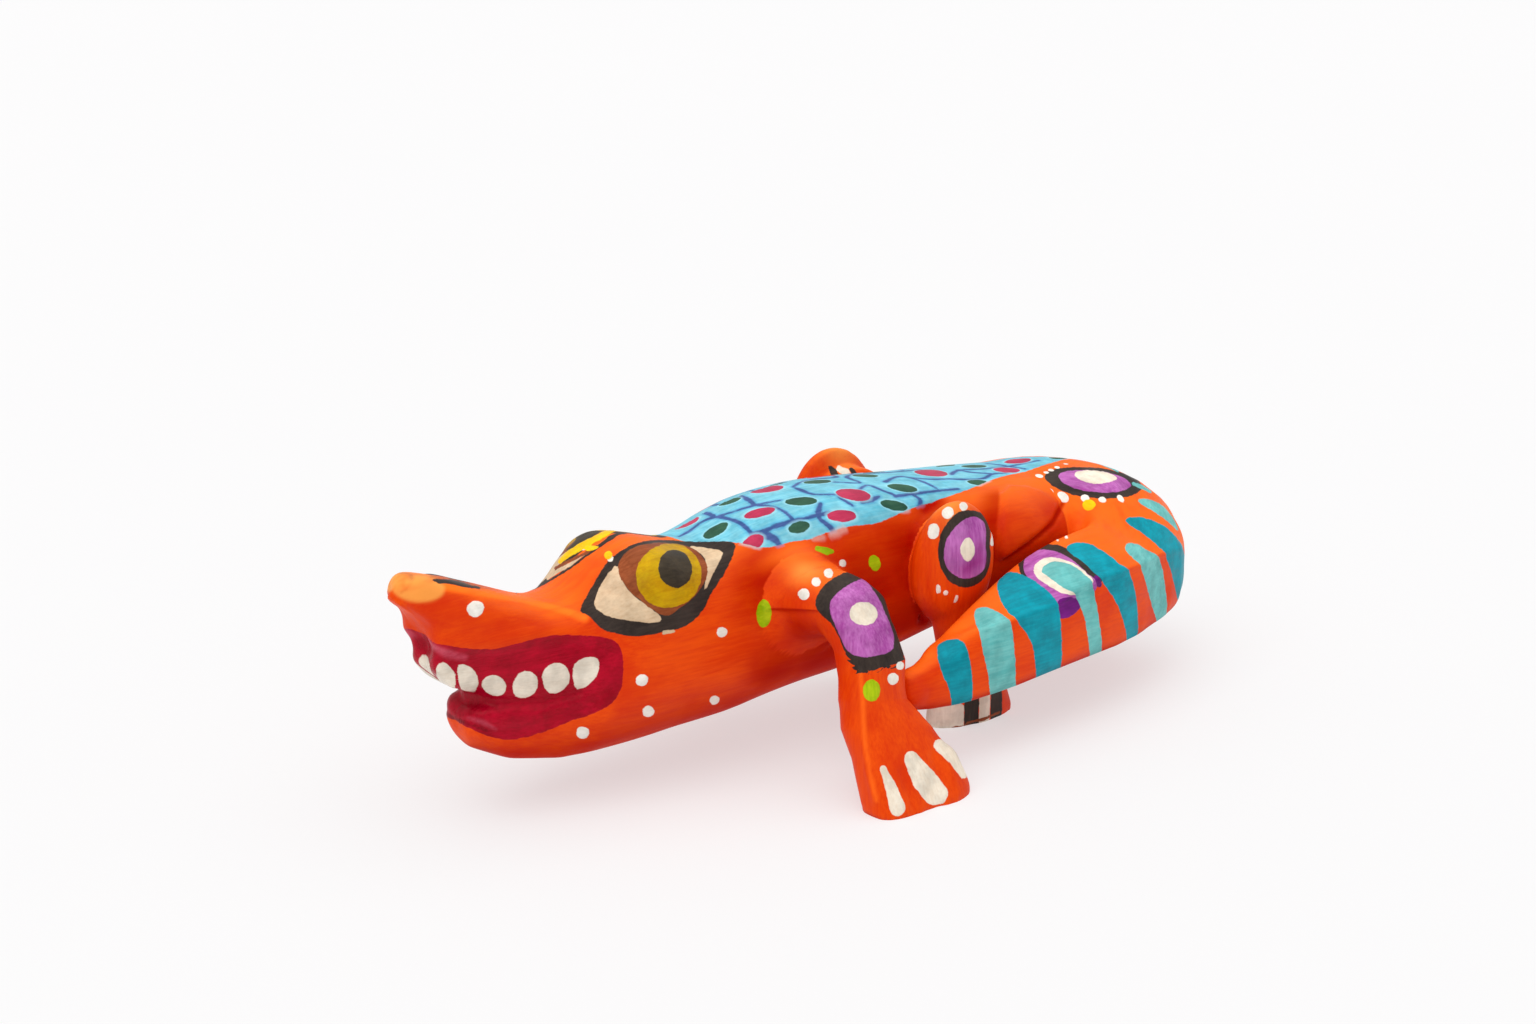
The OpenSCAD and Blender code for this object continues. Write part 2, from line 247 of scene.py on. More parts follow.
def rounded(points, passes=2):
    """A closed outline with its corners cut."""
    pts = np.array(points, float)
    for _ in range(passes):
        after = np.roll(pts, -1, axis=0)
        pts = np.stack([0.75 * pts + 0.25 * after, 0.25 * pts + 0.75 * after], 1).reshape(-1, 2)
    return pts


def outline(p, points, passes=2):
    """Distance to a closed outline, negative inside."""
    pts = rounded(points, passes)
    out = np.full(len(p), 1e3)
    low, high = pts.min(0) - 4, pts.max(0) + 4
    near = np.flatnonzero(np.all((p > low) & (p < high), axis=1))
    q = p[near]
    gap = np.full(len(q), 4.0)
    odd = np.zeros(len(q), bool)
    for a, b in zip(pts, np.roll(pts, -1, axis=0)):
        run = b - a
        t = np.clip((q - a) @ run / max(run @ run, 1e-9), 0, 1)
        gap = np.minimum(gap, np.linalg.norm(q - a - t[:, None] * run, axis=1))
        crosses = (a[1] > q[:, 1]) != (b[1] > q[:, 1])
        at = a[0] + (q[:, 1] - a[1]) * run[0] / (run[1] if abs(run[1]) > 1e-9 else 1e-9)
        odd ^= crosses & (q[:, 0] < at)
    out[near] = np.where(odd, -gap, gap)
    return out


# ---------------------------------------------------------------- the arms' fine shape

# How each front leg is shaved or built up across its width, seen from the painter's side:
# [v, left edge, right edge, shift of the left edge, shift of the right edge]
ARM = np.array([
    (-12, 12, 31, 0, 0.8), (-3, 11.7, 28.5, 0, 0.9), (2.7, 10.8, 26.3, -1, 0.8), (5.5, 10.2, 25, -0.6, 0),
    (8, 9.6, 23.7, -0.3, -0.9), (12, 8, 21.5, 1, 0.4), (15.6, 6.2, 20.3, 2.3, 1.6),
    (18.3, 4.4, 19.6, 2.4, 1.5), (22.8, 1.5, 18.2, 1.5, 1.3), (27, -2, 15.5, 0.5, 2.2),
    (30.4, -5, 12.5, 0, 2.2), (34, -6, 11, 0, 0),
])


def seat_shift(leg):
    """How far a leg's peg is from the left one's, once mirrored."""
    shift = middle(leg + "_peg") - middle(leg.split("_")[0] + "_left_peg")
    return shift * (1, 0, 1)


def shape_arm(leg, mirror):
    """Moves the skin of a front leg sideways, and its armpit up, in the painter's plane."""
    flip = np.array([1, -1 if mirror else 1, 1])
    gap = distance_to([leg + "_leg"], skin_points, 4.0)
    near = np.flatnonzero(gap < 4.0)
    p = (skin_points[near] - seat_shift(leg)) * flip
    u, v = p @ RIGHT, p @ UP
    left, right, at_left, at_right = (np.interp(v, ARM[:, 0], ARM[:, k]) for k in range(1, 5))
    across = np.clip((u - left) / (right - left), 0, 1)
    amount = smoothstep(4.0, 1.0, gap[near])
    sideways = amount * (at_left + (at_right - at_left) * across)
    up = 3.0 * amount * smoothstep(10, 3, u) * smoothstep(26, 21, v) * smoothstep(12, 16, v)
    skin_points[near] += (sideways[:, None] * RIGHT + up[:, None] * UP) * flip
    if mirror:
        # The right leg's knee stays below the back
        y, z = skin_points[near, 1], skin_points[near, 2]
        skin_points[near, 2] -= 2.2 * amount * smoothstep(31, 37, z) * smoothstep(16, 22, y)


shape_arm("front_left", False)
shape_arm("front_right", True)
# The right shin leans a little forward
hidden_shin = (distance_to(["hind_right_leg"], skin_points, 2.0) < 1.5) & (skin_points[:, 2] < 24)
skin_points[hidden_shin, 0] -= 1.6 * smoothstep(24, 17, skin_points[hidden_shin, 2])
skin_points[:, 2] = np.where(grounded, np.minimum(skin_points[:, 2], 0.0), skin_points[:, 2])

# ---------------------------------------------------------------- painted shapes

# The head
MOUTH = [
    (-76, 20.5), (-66.8, 20.2), (-61.7, 19.4), (-59, 18.8), (-56.1, 18.5), (-52.6, 18.6), (-49.2, 19.5),
    (-45.8, 20.4), (-42.3, 20.8), (-35.8, 20.5), (-32, 19.8), (-30.8, 17.8), (-30.5, 14.2), (-30.8, 11),
    (-32.2, 8.2), (-35.8, 6), (-40.2, 4.8), (-44.5, 3), (-48.8, 1.6), (-52.2, 1.4), (-55.5, 2.2),
    (-58.8, 3.7), (-60.9, 4.6), (-63, 6), (-76, 7.5),
]
TEETH = [
    [
        (-67, 16.9), (-66, 16.4), (-64.9, 14.6), (-64.2, 12.6), (-63.5, 10.2), (-64.9, 10.6),
        (-66.1, 12.2), (-66.9, 14.2),
    ],
    [
        (-63.9, 15.7), (-62.4, 15.9), (-61, 14.8), (-60.4, 12.9), (-60.9, 10.2), (-62.2, 9.6),
        (-63, 11.2), (-64, 13.2),
    ],
    [
        (-60.1, 15.5), (-58.5, 15.6), (-57, 14.4), (-56.3, 12.7), (-56.7, 10.9), (-58.2, 9.8),
        (-59.5, 11), (-60.1, 12.8),
    ],
    [
        (-55.6, 12.7), (-54.2, 13.5), (-52.6, 13.2), (-51.5, 11.7), (-51.8, 10.2), (-52.8, 9.2),
        (-55, 9.4), (-56, 10.9),
    ],
    [
        (-50.2, 12.6), (-48.7, 14.2), (-46.8, 14.1), (-45.7, 12.6), (-46.2, 10.4), (-47.6, 9), (-49.7, 9),
        (-50.5, 10.6),
    ],
    [
        (-45.3, 13), (-44.3, 15), (-42.7, 15.8), (-40.9, 15.2), (-40, 13.2), (-40.5, 11.2), (-42.1, 9.8),
        (-44.4, 10),
    ],
    [
        (-39.8, 14.1), (-38.9, 15.9), (-37.2, 16.6), (-35.2, 16.6), (-34.7, 15), (-35.5, 12.6),
        (-37.2, 11), (-39.2, 10.2),
    ],
]
EYE_OUTER = [
    (-39, 24.8), (-37, 28.5), (-35.2, 32), (-33.5, 34.5), (-30.8, 36.5), (-27.8, 37.8), (-24, 38.2),
    (-20, 37.8), (-16, 37.6), (-10, 38), (-10.2, 35.5), (-12.2, 31.5), (-15, 27.2), (-16, 24.8),
    (-19.2, 21.8), (-23, 21.2), (-27.2, 20.2), (-32, 20.8), (-35, 22), (-36.8, 24.2),
]
EYE_FRONT_WHITE = [
    (-31.8, 33.8), (-33.8, 31.5), (-35.5, 28.5), (-36.2, 25.8), (-33.5, 24), (-29.5, 23.2),
    (-24.2, 22.8), (-23.2, 23.5), (-26, 26), (-29.5, 28.5), (-31, 31.2),
]
EYE_REAR_WHITE = [
    (-19.2, 37), (-15.5, 36.5), (-12.2, 36), (-12.8, 34.5), (-14, 32), (-16, 27.8), (-15.4, 31.5),
    (-15.4, 34), (-16.8, 35.8),
]
EYE_BROWN = [
    (-27.2, 37.5), (-30, 36.2), (-31.5, 34.5), (-31.8, 32), (-29.5, 28.5), (-26.5, 26.2), (-23, 23.8),
    (-21, 24.8), (-17.2, 27.8), (-15.2, 31), (-15.2, 33.2), (-16.5, 35.5), (-19.2, 37), (-23, 37.6),
]
NOSTRIL = [
    (-64.1, 31.1, 0.25), (-62.5, 30.7, 0.45), (-60.7, 30.3, 0.5), (-58.7, 29.7, 0.38),
    (-56.6, 29.2, 0.15),
]
# Soft brown strokes round the nostril and on the tip of the nose
UMBER = [
    [(-64.4, 32, 0.5), (-60.5, 31.3, 0.9), (-56.5, 29.9, 0.7), (-53, 29, 0.2)],
    [(-68.4, 32.5, 0.25), (-67.8, 31.5, 0.2)],
    [(-67.8, 32.8, 0.2), (-64.4, 32.6, 0.2)],
]
# The light orange patch on the nose: paint worn thin, and a painted highlight
NOSE_PATCH = (-66.8, 29.7, 4.7, 2.5, -6)
# Painted shade in the crease inside the lower lip, and a painted highlight under it
LIP_SHADE = [(-62, 5.4, 0.2), (-60.4, 4.9, 0.3), (-58.8, 4.4, 0.25), (-55.4, 3.2, 0.15)]
LIP_HIGHLIGHT = [(-58.8, 5.6, 0.15), (-56.8, 5, 0.35), (-55.4, 4.4, 0.35), (-53.8, 3.4, 0.15)]
# A painted highlight on the gum
GUM_HIGHLIGHT = [(-65.5, 19.4, 0.6), (-62, 17.6, 0.9), (-58.6, 16.8, 0.6)]
# The carved edge between the top of the snout and its side
SNOUT_EDGE = [(-61.8, 30), (-58.2, 29.1), (-55.2, 28.6), (-48.6, 27.2), (-41.3, 25.1), (-37.7, 23.9)]
LIP_GROOVE = [(-62.5, 9.4, 0.1), (-58.8, 8.8, 0.1), (-53.8, 8.2, 0.1), (-45, 8.2, 0.1), (-38.5, 10, 0.1)]
HEAD_DOTS = [
    (-56.8, 25.8, 1.45), (-38.2, 2.5, 1.2), (-27.2, 12.2, 1.15), (-26.2, 6.2, 1.1), (-14, 7.8, 0.9),
    (-12.5, 20.8, 1.0), (-33.2, 34.6, 0.6),
]
# The part of the right eye that wraps over the brow, drawn from the left side
FAR_EYE = {
    "charcoal": [[
        (-50.5, 28, 0.15), (-48.1, 28.8, 0.2), (-45.6, 30.1, 0.22), (-43, 31.6, 0.24),
        (-40.1, 33.5, 0.25), (-37.8, 35.3, 0.28), (-35.9, 36.7, 0.38), (-33.7, 38.3, 0.42),
        (-32.1, 39.3, 0.35), (-30.2, 39.7, 0.25),
    ]],
    "cream": [[(-45.2, 30.9, 0.3), (-43, 32.5, 0.4), (-40.7, 33.7, 0.32), (-38.3, 35.3, 0.12)]],
    "brown": [[
        (-43.9, 32.7, 0.2), (-42, 33.7, 0.3), (-39.9, 34.7, 0.3), (-37.8, 35.8, 0.3), (-35.9, 37, 0.25),
    ]],
    "sun": [[
        (-43, 34, 0.4), (-41.7, 35.2, 0.6), (-39.1, 36.7, 0.65), (-35.9, 38.5, 0.6), (-32.8, 40.2, 0.5),
    ]],
    "pupil": [[(-41.6, 36.2, 0.3), (-39.4, 37.9, 0.8), (-37.8, 39.1, 1.0), (-35.8, 40.4, 0.7)]],
}
# The front leg
LEG_DARK = [
    (4.8, 26.6), (6.4, 29.5), (9.5, 31.6), (12.2, 32.2), (14.2, 31.8), (15.8, 30.7), (18, 27.8),
    (19.8, 23.7), (21.6, 18.4), (22, 16), (20.8, 14.6), (16.5, 13.7), (12.8, 13.1), (11.3, 15.5),
    (10.1, 18.4), (8.2, 22.5), (5.5, 24.6),
]
LEG_VIOLET = [
    (7.6, 26.6), (9.5, 28.6), (12.2, 30.1), (14.4, 31), (15.8, 29), (17.6, 26), (19.1, 22.5), (20, 19.6),
    (19.7, 17.5), (17.1, 16.5), (13.5, 16.2), (11.3, 16.9), (9.8, 19.6), (7.9, 23.7),
]
LEG_DOTS = [
    (2.9, 27.9, 1.05), (5.2, 30.2, 0.85), (7.6, 31.8, 0.85), (10.4, 33.5, 0.75), (20.9, 14.5, 0.8),
    (19.6, 12.1, 1.1),
]
NAILS = [
    [(17.6, -4.5, 0.6), (19.3, -8.6, 1.15), (20.3, -11.8, 1.45)],
    [(23, -2.9, 1.4), (25.4, -6.8, 2.3), (27.4, -9.6, 2.1)],
    [(28.3, -0.6, 1.0), (30.7, -3.4, 1.3), (32.3, -6.3, 1.1)],
]
# The carved edge down the front of the shin
SHIN_EDGE = [(13.3, 13.5), (13.8, 9), (14.1, 1.1), (15, -5), (16.3, -10.3)]
# The hind leg
KNEE_DARK = [
    (28.8, 35.5), (29.4, 39.1), (31.1, 41.9), (33.4, 43.5), (35.8, 43.9), (37.8, 43.2), (39.6, 41.4),
    (39.8, 39.5), (39.4, 37.3), (39.8, 34.5), (39.4, 31.7), (37.4, 29.4), (34.5, 28.5), (31.6, 29.5),
    (29.7, 31.8),
]
KNEE_VIOLET = [
    (30, 35.5), (30.6, 38.2), (32.4, 40.5), (34.3, 42.1), (36.3, 42.6), (38.2, 41.6), (38.8, 39.6),
    (38.4, 37.3), (38.9, 35), (38.5, 32.2), (36.8, 30.8), (34.4, 30.2), (31.6, 31.4), (30.4, 33.2),
]
KNEE_DOTS = [
    [(28, 39.2, 1.05), (28.2, 40, 1.05)], [(30.8, 43, 1.05), (31.1, 43.3, 1.0)], [(34.1, 44.4, 0.85)],
    [(38, 43.9, 0.55)], [(40.3, 40.4, 0.4), (40, 37.2, 0.5)], [(29.1, 28.9, 0.4), (29.2, 28, 0.5)],
    [(30.6, 27.7, 0.45)], [(32.8, 26.9, 0.35), (32.6, 26.1, 0.4)],
]
# What shows of the right knee's ring over the back
FAR_KNEE = {
    "charcoal": [[(8.7, 52.4, 0.4), (9.4, 51.5, 0.7), (9.8, 50.5, 0.7)], [(13, 52, 0.4), (13.7, 51, 0.55)]],
    "spot": [[(10.6, 52.1, 0.6), (11.8, 51.4, 0.8), (12.4, 50.6, 0.8)]],
}
# The front outline of the left thigh, where it meets the flank
THIGH_EDGE = [
    (28.6, 44.9), (26.4, 42.4), (24.3, 39.4), (23.3, 35.5), (23.6, 32.5), (24.5, 28.6), (26.6, 22.1),
]
# The wedge of wood between the left thigh and the tail, and its lower edge
FOLD = [
    (41.3, 34), (41.2, 40.9), (42.5, 48.4), (50.2, 48.4), (54.9, 45.1), (53.2, 40.9), (47.1, 37),
    (43.2, 34.2),
]
FOLD_EDGE = [(55.6, 45), (53.2, 41), (48.1, 37), (43.2, 34)]
# The carved edge between the top of the tail and its outer face
TAIL_EDGE = [
    (26, 16.4), (32.7, 19.2), (38.7, 21), (43.1, 22.3), (48, 23.9), (52.2, 25.4), (56, 27.7),
    (59.9, 29.8), (64.3, 31), (71.9, 33.2), (75.7, 34.9), (80.5, 35.8),
]
# The tail
TAIL_TEAL = [
    [
        (28.2, 17), (30.3, 18.6), (33, 18.8), (34.3, 17.8), (35.4, 12.3), (35.6, 5), (31.6, 4), (31, 9.3),
        (29.3, 12.5),
    ],
    [
        (40.6, 28.6), (41.4, 30.6), (43.2, 31.6), (45.6, 31.4), (48.5, 29.8), (52, 27), (53.3, 23),
        (53.8, 16), (53.8, 9), (48.6, 8.6), (48.4, 12.6), (47.4, 18.3), (44.8, 21.6), (41.6, 25),
    ],
    [
        (54.4, 36.2), (57.6, 37.5), (61, 36.9), (65, 34), (68.6, 31), (69.9, 26.6), (70.7, 20.7),
        (70.6, 16), (68.6, 15), (67.8, 19.6), (65.7, 25), (62.1, 29.6), (58.8, 33.3),
    ],
    [
        (67.8, 41.4), (69.6, 42.5), (73.2, 42.2), (77.8, 40.3), (81.1, 37.1), (83.6, 32), (83.6, 25),
        (80.8, 24), (79.1, 29.5), (76.5, 35.5), (72, 39.2),
    ],
]
TAIL_AQUA = [
    [
        (35.7, 23.4), (36.7, 25), (38.9, 25), (41.6, 23.4), (43.2, 22), (43.9, 16), (44.4, 9), (44.4, 5),
        (39.6, 5), (38.4, 13), (37, 18.6),
    ],
    [
        (67.3, 36), (68.2, 37.1), (70.4, 37.1), (72.6, 35.7), (75.5, 34), (76.6, 30.5), (77.8, 24),
        (77.6, 19), (75.8, 20), (73.5, 25), (71.3, 31.5), (69.4, 34),
    ],
    [
        (71.2, 45.8), (73, 46.2), (75.8, 45.6), (78.6, 43.7), (80.6, 40.4), (80.6, 39), (78.7, 41.1),
        (75.5, 43.1), (72.6, 44.7),
    ],
    [
        (49.5, 31.8), (51, 33.3), (53.6, 33.7), (56.4, 32.8), (58.8, 30.8), (60.3, 28.4), (61.2, 24),
        (62.6, 17), (62.6, 12), (60.4, 12), (59.6, 17), (58.6, 22), (56.6, 27), (53.4, 28.8), (51, 30.6),
    ],
]
TAIL_DOTS = [(55, 39.3, 0.35), (53.7, 37.8, 0.25), (55.6, 38.3, 0.3)]
TAIL_EYE_DARK = [
    (45.2, 32.6), (46.1, 35.3), (49.1, 36.8), (52.6, 37.1), (55.4, 36.3), (57.7, 34.5), (60, 32.1),
    (62.6, 29.7), (60, 28), (52, 24.8), (48.6, 27.6), (45.9, 30.4),
]
TAIL_EYE_VIOLET = [
    (46.2, 32.6), (47.1, 34.8), (49.1, 35.8), (51.8, 36), (55.1, 34.8), (57.8, 32.6), (59.8, 30.6),
    (61.6, 28.8), (57.8, 25), (54.8, 22.6), (52.6, 22.8), (52, 25.6), (49.4, 27.8), (46.6, 30.8),
]
TAIL_PLUM = [(51.8, 25.8), (54.2, 26.8), (57.4, 26.4), (57.8, 24.8), (54.9, 22.4), (52.6, 22.6)]
TAIL_WHITE = [
    (48, 32.2), (49.7, 34), (52.2, 34.6), (55.9, 33.6), (58.9, 31.6), (60.3, 29.4), (58, 27),
    (54.6, 26.9), (51.5, 28.5), (48.8, 30.4),
]
HIP_DARK = [
    (52, 50.4), (53.7, 48.5), (57.5, 46.8), (62.3, 46), (67.2, 46.1), (71, 46.8), (73.6, 48.6),
    (72, 50.6), (68.3, 51.8), (63.3, 52.6), (57.1, 52.5), (53.4, 51.8),
]
HIP_VIOLET = [
    (54.8, 50.8), (56.2, 49), (59.5, 47.8), (63.4, 47.2), (67.4, 47.4), (70.6, 48.4), (70.2, 49.9),
    (66.6, 51.4), (62, 52), (57.1, 51.9),
]
HIP_WHITE = [
    (58.2, 51), (59.7, 49.7), (62.5, 49), (66.1, 49.4), (67.9, 50.2), (66.6, 51.2), (63.6, 51.9),
    (60, 51.9),
]
# Dots round the hip's spot: [x, y, z, radius]
HIP_DOTS = [
    (57.7, -11.7, 41.6, 1.2), (60.5, -13.2, 40.2, 1.3), (64.7, -15.2, 39.6, 0.9),
    (67.2, -17.6, 39.3, 0.8), (71.5, -18.3, 38.9, 0.9), (57.4, -8.4, 43, 0.9), (59.6, -6.9, 43.4, 0.8),
    (62, -6.3, 43.3, 0.6), (63.8, -5.8, 43.4, 0.6), (65.8, -5.4, 43.4, 0.6), (69.1, -4.5, 43.3, 0.6),
]
HIP_SUN = (64.4, -16.7, 38.6)
# The blue back's outline, seen from above, from the neck to the root of the tail and back
BACK_LEFT = [
    (-27.4, 0), (-27.2, -2.4), (-23.3, -4.9), (-18.9, -8.2), (-15.6, -11.8), (-11.1, -12.8),
    (-5.4, -13.9), (3.2, -13.7), (9.9, -14.4), (15.9, -13.5), (22.5, -12.3), (28.8, -11.1), (35.1, -10),
    (42, -8.2), (48, -6), (55, -4.2), (64, -3.2), (74, -0.6), (77, 2),
]
BACK_RIGHT = [
    (74, 1.6), (64, 6.5), (55, 8.2), (48, 9.4), (42, 10), (35.1, 11), (22.5, 12.6), (9.9, 14.4),
    (-5.4, 14.4), (-16, 15.5), (-24, 15.5), (-29.5, 12), (-29.4, 7), (-28.4, 4),
]
# Each dab on the back: [x, y, turn, half length, half width]
RED_DABS = [
    (-20.5, 5.7, 0, 2.8, 2), (-1.6, 4.6, -14, 3.4, 2.6), (-10.5, -4.5, -12, 3.3, 1.5),
    (10.9, -6.8, -16, 3.5, 2.6), (4, -11.8, -8, 3.2, 1.25), (37.8, 1.4, -20, 3.4, 3.2),
    (62.4, 2.8, -10, 3, 2), (-16.4, -10, 0, 2.5, 1.3), (55.5, -1.6, -10, 3, 2),
]
GREEN_DABS = [
    (-10.5, 4.8, -6, 2.4, 1.4), (-19.9, -3, 8, 3.1, 1.5), (-1, -5.4, -18, 3.3, 1.7),
    (-6.2, -11.4, -4, 2.4, 1.05), (9.2, 2.3, -12, 3, 1.5), (23.9, -6.1, -18, 3.1, 2),
    (17.4, -11.4, -14, 2.9, 1.3), (22.1, 3.1, -14, 2.8, 1.6), (43.5, -7, -14, 2.8, 1.4),
    (51, 3.4, -14, 2.8, 1.6), (72, 0.6, 0, 2.6, 1.6),
]
# Pale smears along the blue's lower edge
SMEARS = [[(-4.8, -14, 0.25), (-2.5, -14.2, 0.4)], [(-0.8, -14.3, 0.45), (2.8, -14, 0.6)]]
# The lines between the scales of the back: rows of [x, y, radius]
NET = [
    [
        (-26, 0.6, 0.2), (-22.4, 1.5, 0.35), (-18.7, 2.6, 0.3), (-16.6, 1.4, 0.5), (-15.9, -1.6, 0.3),
        (-15.3, -4.7, 0.45), (-15.4, -8.6, 0.3),
    ],
    [(-15.7, 7.8, 0.3), (-16.7, 1.9, 0.45)],
    [(-16.4, 1, 0.4), (-13.9, -0.3, 0.3), (-9.3, -1.4, 0.4), (-4.1, -3, 0.15)],
    [(-7.1, 6.6, 0.3), (-8.2, 2, 0.6), (-9.2, -1.3, 0.35)],
    [(-9.3, -1.4, 0.3), (-7.3, -4, 0.4), (-6.4, -6.6, 0.3), (-6.3, -9.3, 0.35)],
    [(-15.2, -8.9, 0.6), (-12.5, -9.3, 0.35), (-8.8, -9.6, 0.5), (-4.3, -10.2, 0.3), (1.9, -10.6, 0.4)],
    [(-15.5, -8.7, 0.5), (-13.2, -10.2, 0.7), (-12.1, -11.3, 0.7), (-11.9, -12.8, 0.3)],
    [(2.7, 1.8, 0.2), (2.7, -0.8, 0.6), (2.5, -3.6, 0.4), (4.8, -5.1, 0.25), (7.7, -6, 0.3)],
    [(1.9, -7.8, 0.4), (-0.8, -10.3, 0.5), (-1.2, -11.4, 0.35), (0.1, -13.5, 0.5)],
    [(7.7, -6, 0.3), (7, -7.6, 0.4), (7.9, -10.1, 0.3)],
    [(13.5, -5.4, 0.2), (17.5, -2.9, 0.3), (18.1, -6.5, 0.4), (19.8, -8.8, 0.35)],
    [(22.4, -2.6, 0.4), (28.8, 1.3, 0.3), (30.7, -0.9, 0.4), (31.6, -7.4, 0.3)],
    [(10.5, -9.8, 0.3), (13.6, -9.4, 0.6), (16, -8.6, 0.2)],
    [(19.6, -9.1, 0.4), (23.9, -8.9, 0.35), (29.1, -8.4, 0.3), (36.4, -8.6, 0.3)],
    [(23.9, -8.9, 0.35), (25.1, -10.7, 0.4), (22.9, -12.4, 0.3)],
    [
        (30.7, -0.9, 0.3), (34, -3.2, 0.35), (38, -3.6, 0.3), (41.4, -5, 0.4), (46, -5.6, 0.3),
        (50, -3, 0.3), (54, -3.4, 0.2),
    ],
    [(41, -1, 0.5), (45, 1.6, 0.3), (46.6, -1.4, 0.4), (50, -3, 0.3)],
    [(45, 1.6, 0.3), (52, 0.4, 0.3), (58, 0.8, 0.35), (66, 0.2, 0.2)],
    [(56, 5, 0.3), (58, 0.8, 0.4), (59.6, -2.6, 0.3)],
    [(12, 0.6, 0.3), (17.5, -2.9, 0.3), (16.4, 3.4, 0.4), (22, 5.6, 0.3), (30, 4.8, 0.35), (38, 5, 0.3)],
    [(2.7, 1.8, 0.3), (8, 5, 0.3), (16.4, 3.4, 0.4), (15.6, 7, 0.3)],
    [(-7.1, 6.6, 0.3), (-2, 7.4, 0.35), (4, 6.6, 0.3)],
]


def nearest(*parts):
    return np.minimum.reduce(parts)


def strokes(q, rows):
    return nearest(*[stroke(q, points) for points in rows])


def dots(q, places):
    return nearest(*[stroke(q, [place]) for place in places])


def outlines(q, shapes, passes=2):
    return nearest(*[outline(q, points, passes) for points in shapes])


def paint_head(q):
    eye = outline(q, EYE_OUTER)
    return {
        "crimson": outline(q, MOUTH),
        "tooth": outlines(q, TEETH, 1),
        # Painted shade and painted highlights on the lips and gum
        "shade": stroke(q, LIP_SHADE),
        "highlight": strokes(q, [LIP_HIGHLIGHT, GUM_HIGHLIGHT]),
        "umber": strokes(q, UMBER),
        "charcoal": nearest(eye, stroke(q, NOSTRIL)),
        "cream": nearest(
            outlines(q, [EYE_FRONT_WHITE, EYE_REAR_WHITE], 1),
            stroke(q, [(-23.2, 21, 0.35), (-21.4, 21.2, 0.3)]),
        ),
        "brown": outline(q, EYE_BROWN),
        "mustard": oval(q, -22.3, 31.5, 6.0, 5.9, 20),
        "pupil": oval(q, -21.3, 32.7, 3.0, 3.5, 10),
        "white": dots(q, HEAD_DOTS),
        "sun": stroke(q, [(-33.6, 35.2, 0.8)]),
        "lime": nearest(
            oval(q, -4.6, 24.2, 1.4, 2.7),
            stroke(q, [(5.6, 36.4, 0.5), (7.4, 35.8, 0.75), (8.4, 35.8, 0.4)]),
            oval(q, 16.7, 33.5, 1.1, 1.6, 20),
        ),
    }


def paint_front_leg(q):
    # The lower band is scrubbed on with a dry brush
    scrubbed = 0.5 * smoothstep(17.5, 15, q[:, 1]) * np.sin(6 * q[:, 1] + 2 * np.sin(1.7 * q[:, 0]))
    return {
        "charcoal": outline(q, LEG_DARK) + scrubbed,
        "violet": outline(q, LEG_VIOLET),
        "spot": nearest(oval(q, 14.1, 24.3, 2.65, 2.15, -8), strokes(q, NAILS)),
        "white": dots(q, LEG_DOTS),
        "lime": oval(q, 15.5, 10, 1.6, 2.05, 4),
    }


def paint_hind_leg(q):
    front_bar, rear_bar = [(36.6, 9, 1.5), (36.6, -3, 1.5)], [(41.8, 9, 1.25), (41.8, -3, 1.25)]
    bars = strokes(q, [front_bar, rear_bar])
    toes = nearest(stroke(q, [(24, 0, 7), (30, 0, 7)]), stroke(q, [(39.2, 9, 1.2), (39.2, -3, 1.2)]))
    sole = stroke(q, [(29, -0.6, 0.35), (33.1, 0.5, 0.3), (37.3, 1.6, 0.3), (42.5, 3.2, 0.25)])
    return {
        "charcoal": nearest(outline(q, KNEE_DARK), bars),
        "violet": outline(q, KNEE_VIOLET),
        "magenta": stroke(q, [(37.4, 37, 0.3), (37.2, 34, 1.2), (34.6, 32.2, 0.8)]),
        "spot": outline(q, [(32.9, 35.8), (34.8, 39.2), (36.8, 36.2), (35.2, 33)]),
        "white": strokes(q, KNEE_DOTS),
        "tooth": np.maximum(toes, -bars),
        "brown": sole,
    }


def paint_tail(q):
    return {
        "teal": outlines(q, TAIL_TEAL),
        "aqua": nearest(
            outlines(q, TAIL_AQUA),
            stroke(q, [(61.4, 54.6, 0.5), (64, 54.1, 0.6), (66.6, 52.9, 0.6), (68.2, 51.8, 0.3)]),
            stroke(q, [(71.2, 49.1, 0.4), (73, 48.5, 0.5), (74.8, 47.5, 0.3)]),
        ),
        "white": dots(q, TAIL_DOTS),
        "charcoal": outlines(q, [TAIL_EYE_DARK, HIP_DARK]),
        "violet": outlines(q, [TAIL_EYE_VIOLET, HIP_VIOLET]),
        "plum": nearest(outline(q, TAIL_PLUM), stroke(q, [(60.6, 30.2, 0.5), (61.6, 29, 0.5)])),
        "spot": outlines(q, [TAIL_WHITE, HIP_WHITE]),
    }


def paint_back(top):
    """The blue back with its net and dabs, seen from above."""
    # The far half has the same lines and dabs, a little further back
    mirrored = np.stack([top[:, 0] - 3, -top[:, 1]], 1)
    far_side = top[:, 1] > 6
    q = np.where(far_side[:, None], mirrored, top)
    return {
        "blue": outline(top, BACK_LEFT + BACK_RIGHT),
        "net": strokes(q, [curved(rows) for rows in NET]) - 0.08,
        "red": nearest(*[oval(q, x, y, *halves, turn) for x, y, turn, *halves in RED_DABS]),
        "green": nearest(*[oval(q, x, y, *halves, turn) for x, y, turn, *halves in GREEN_DABS]),
        "smear": strokes(q, SMEARS),
    }


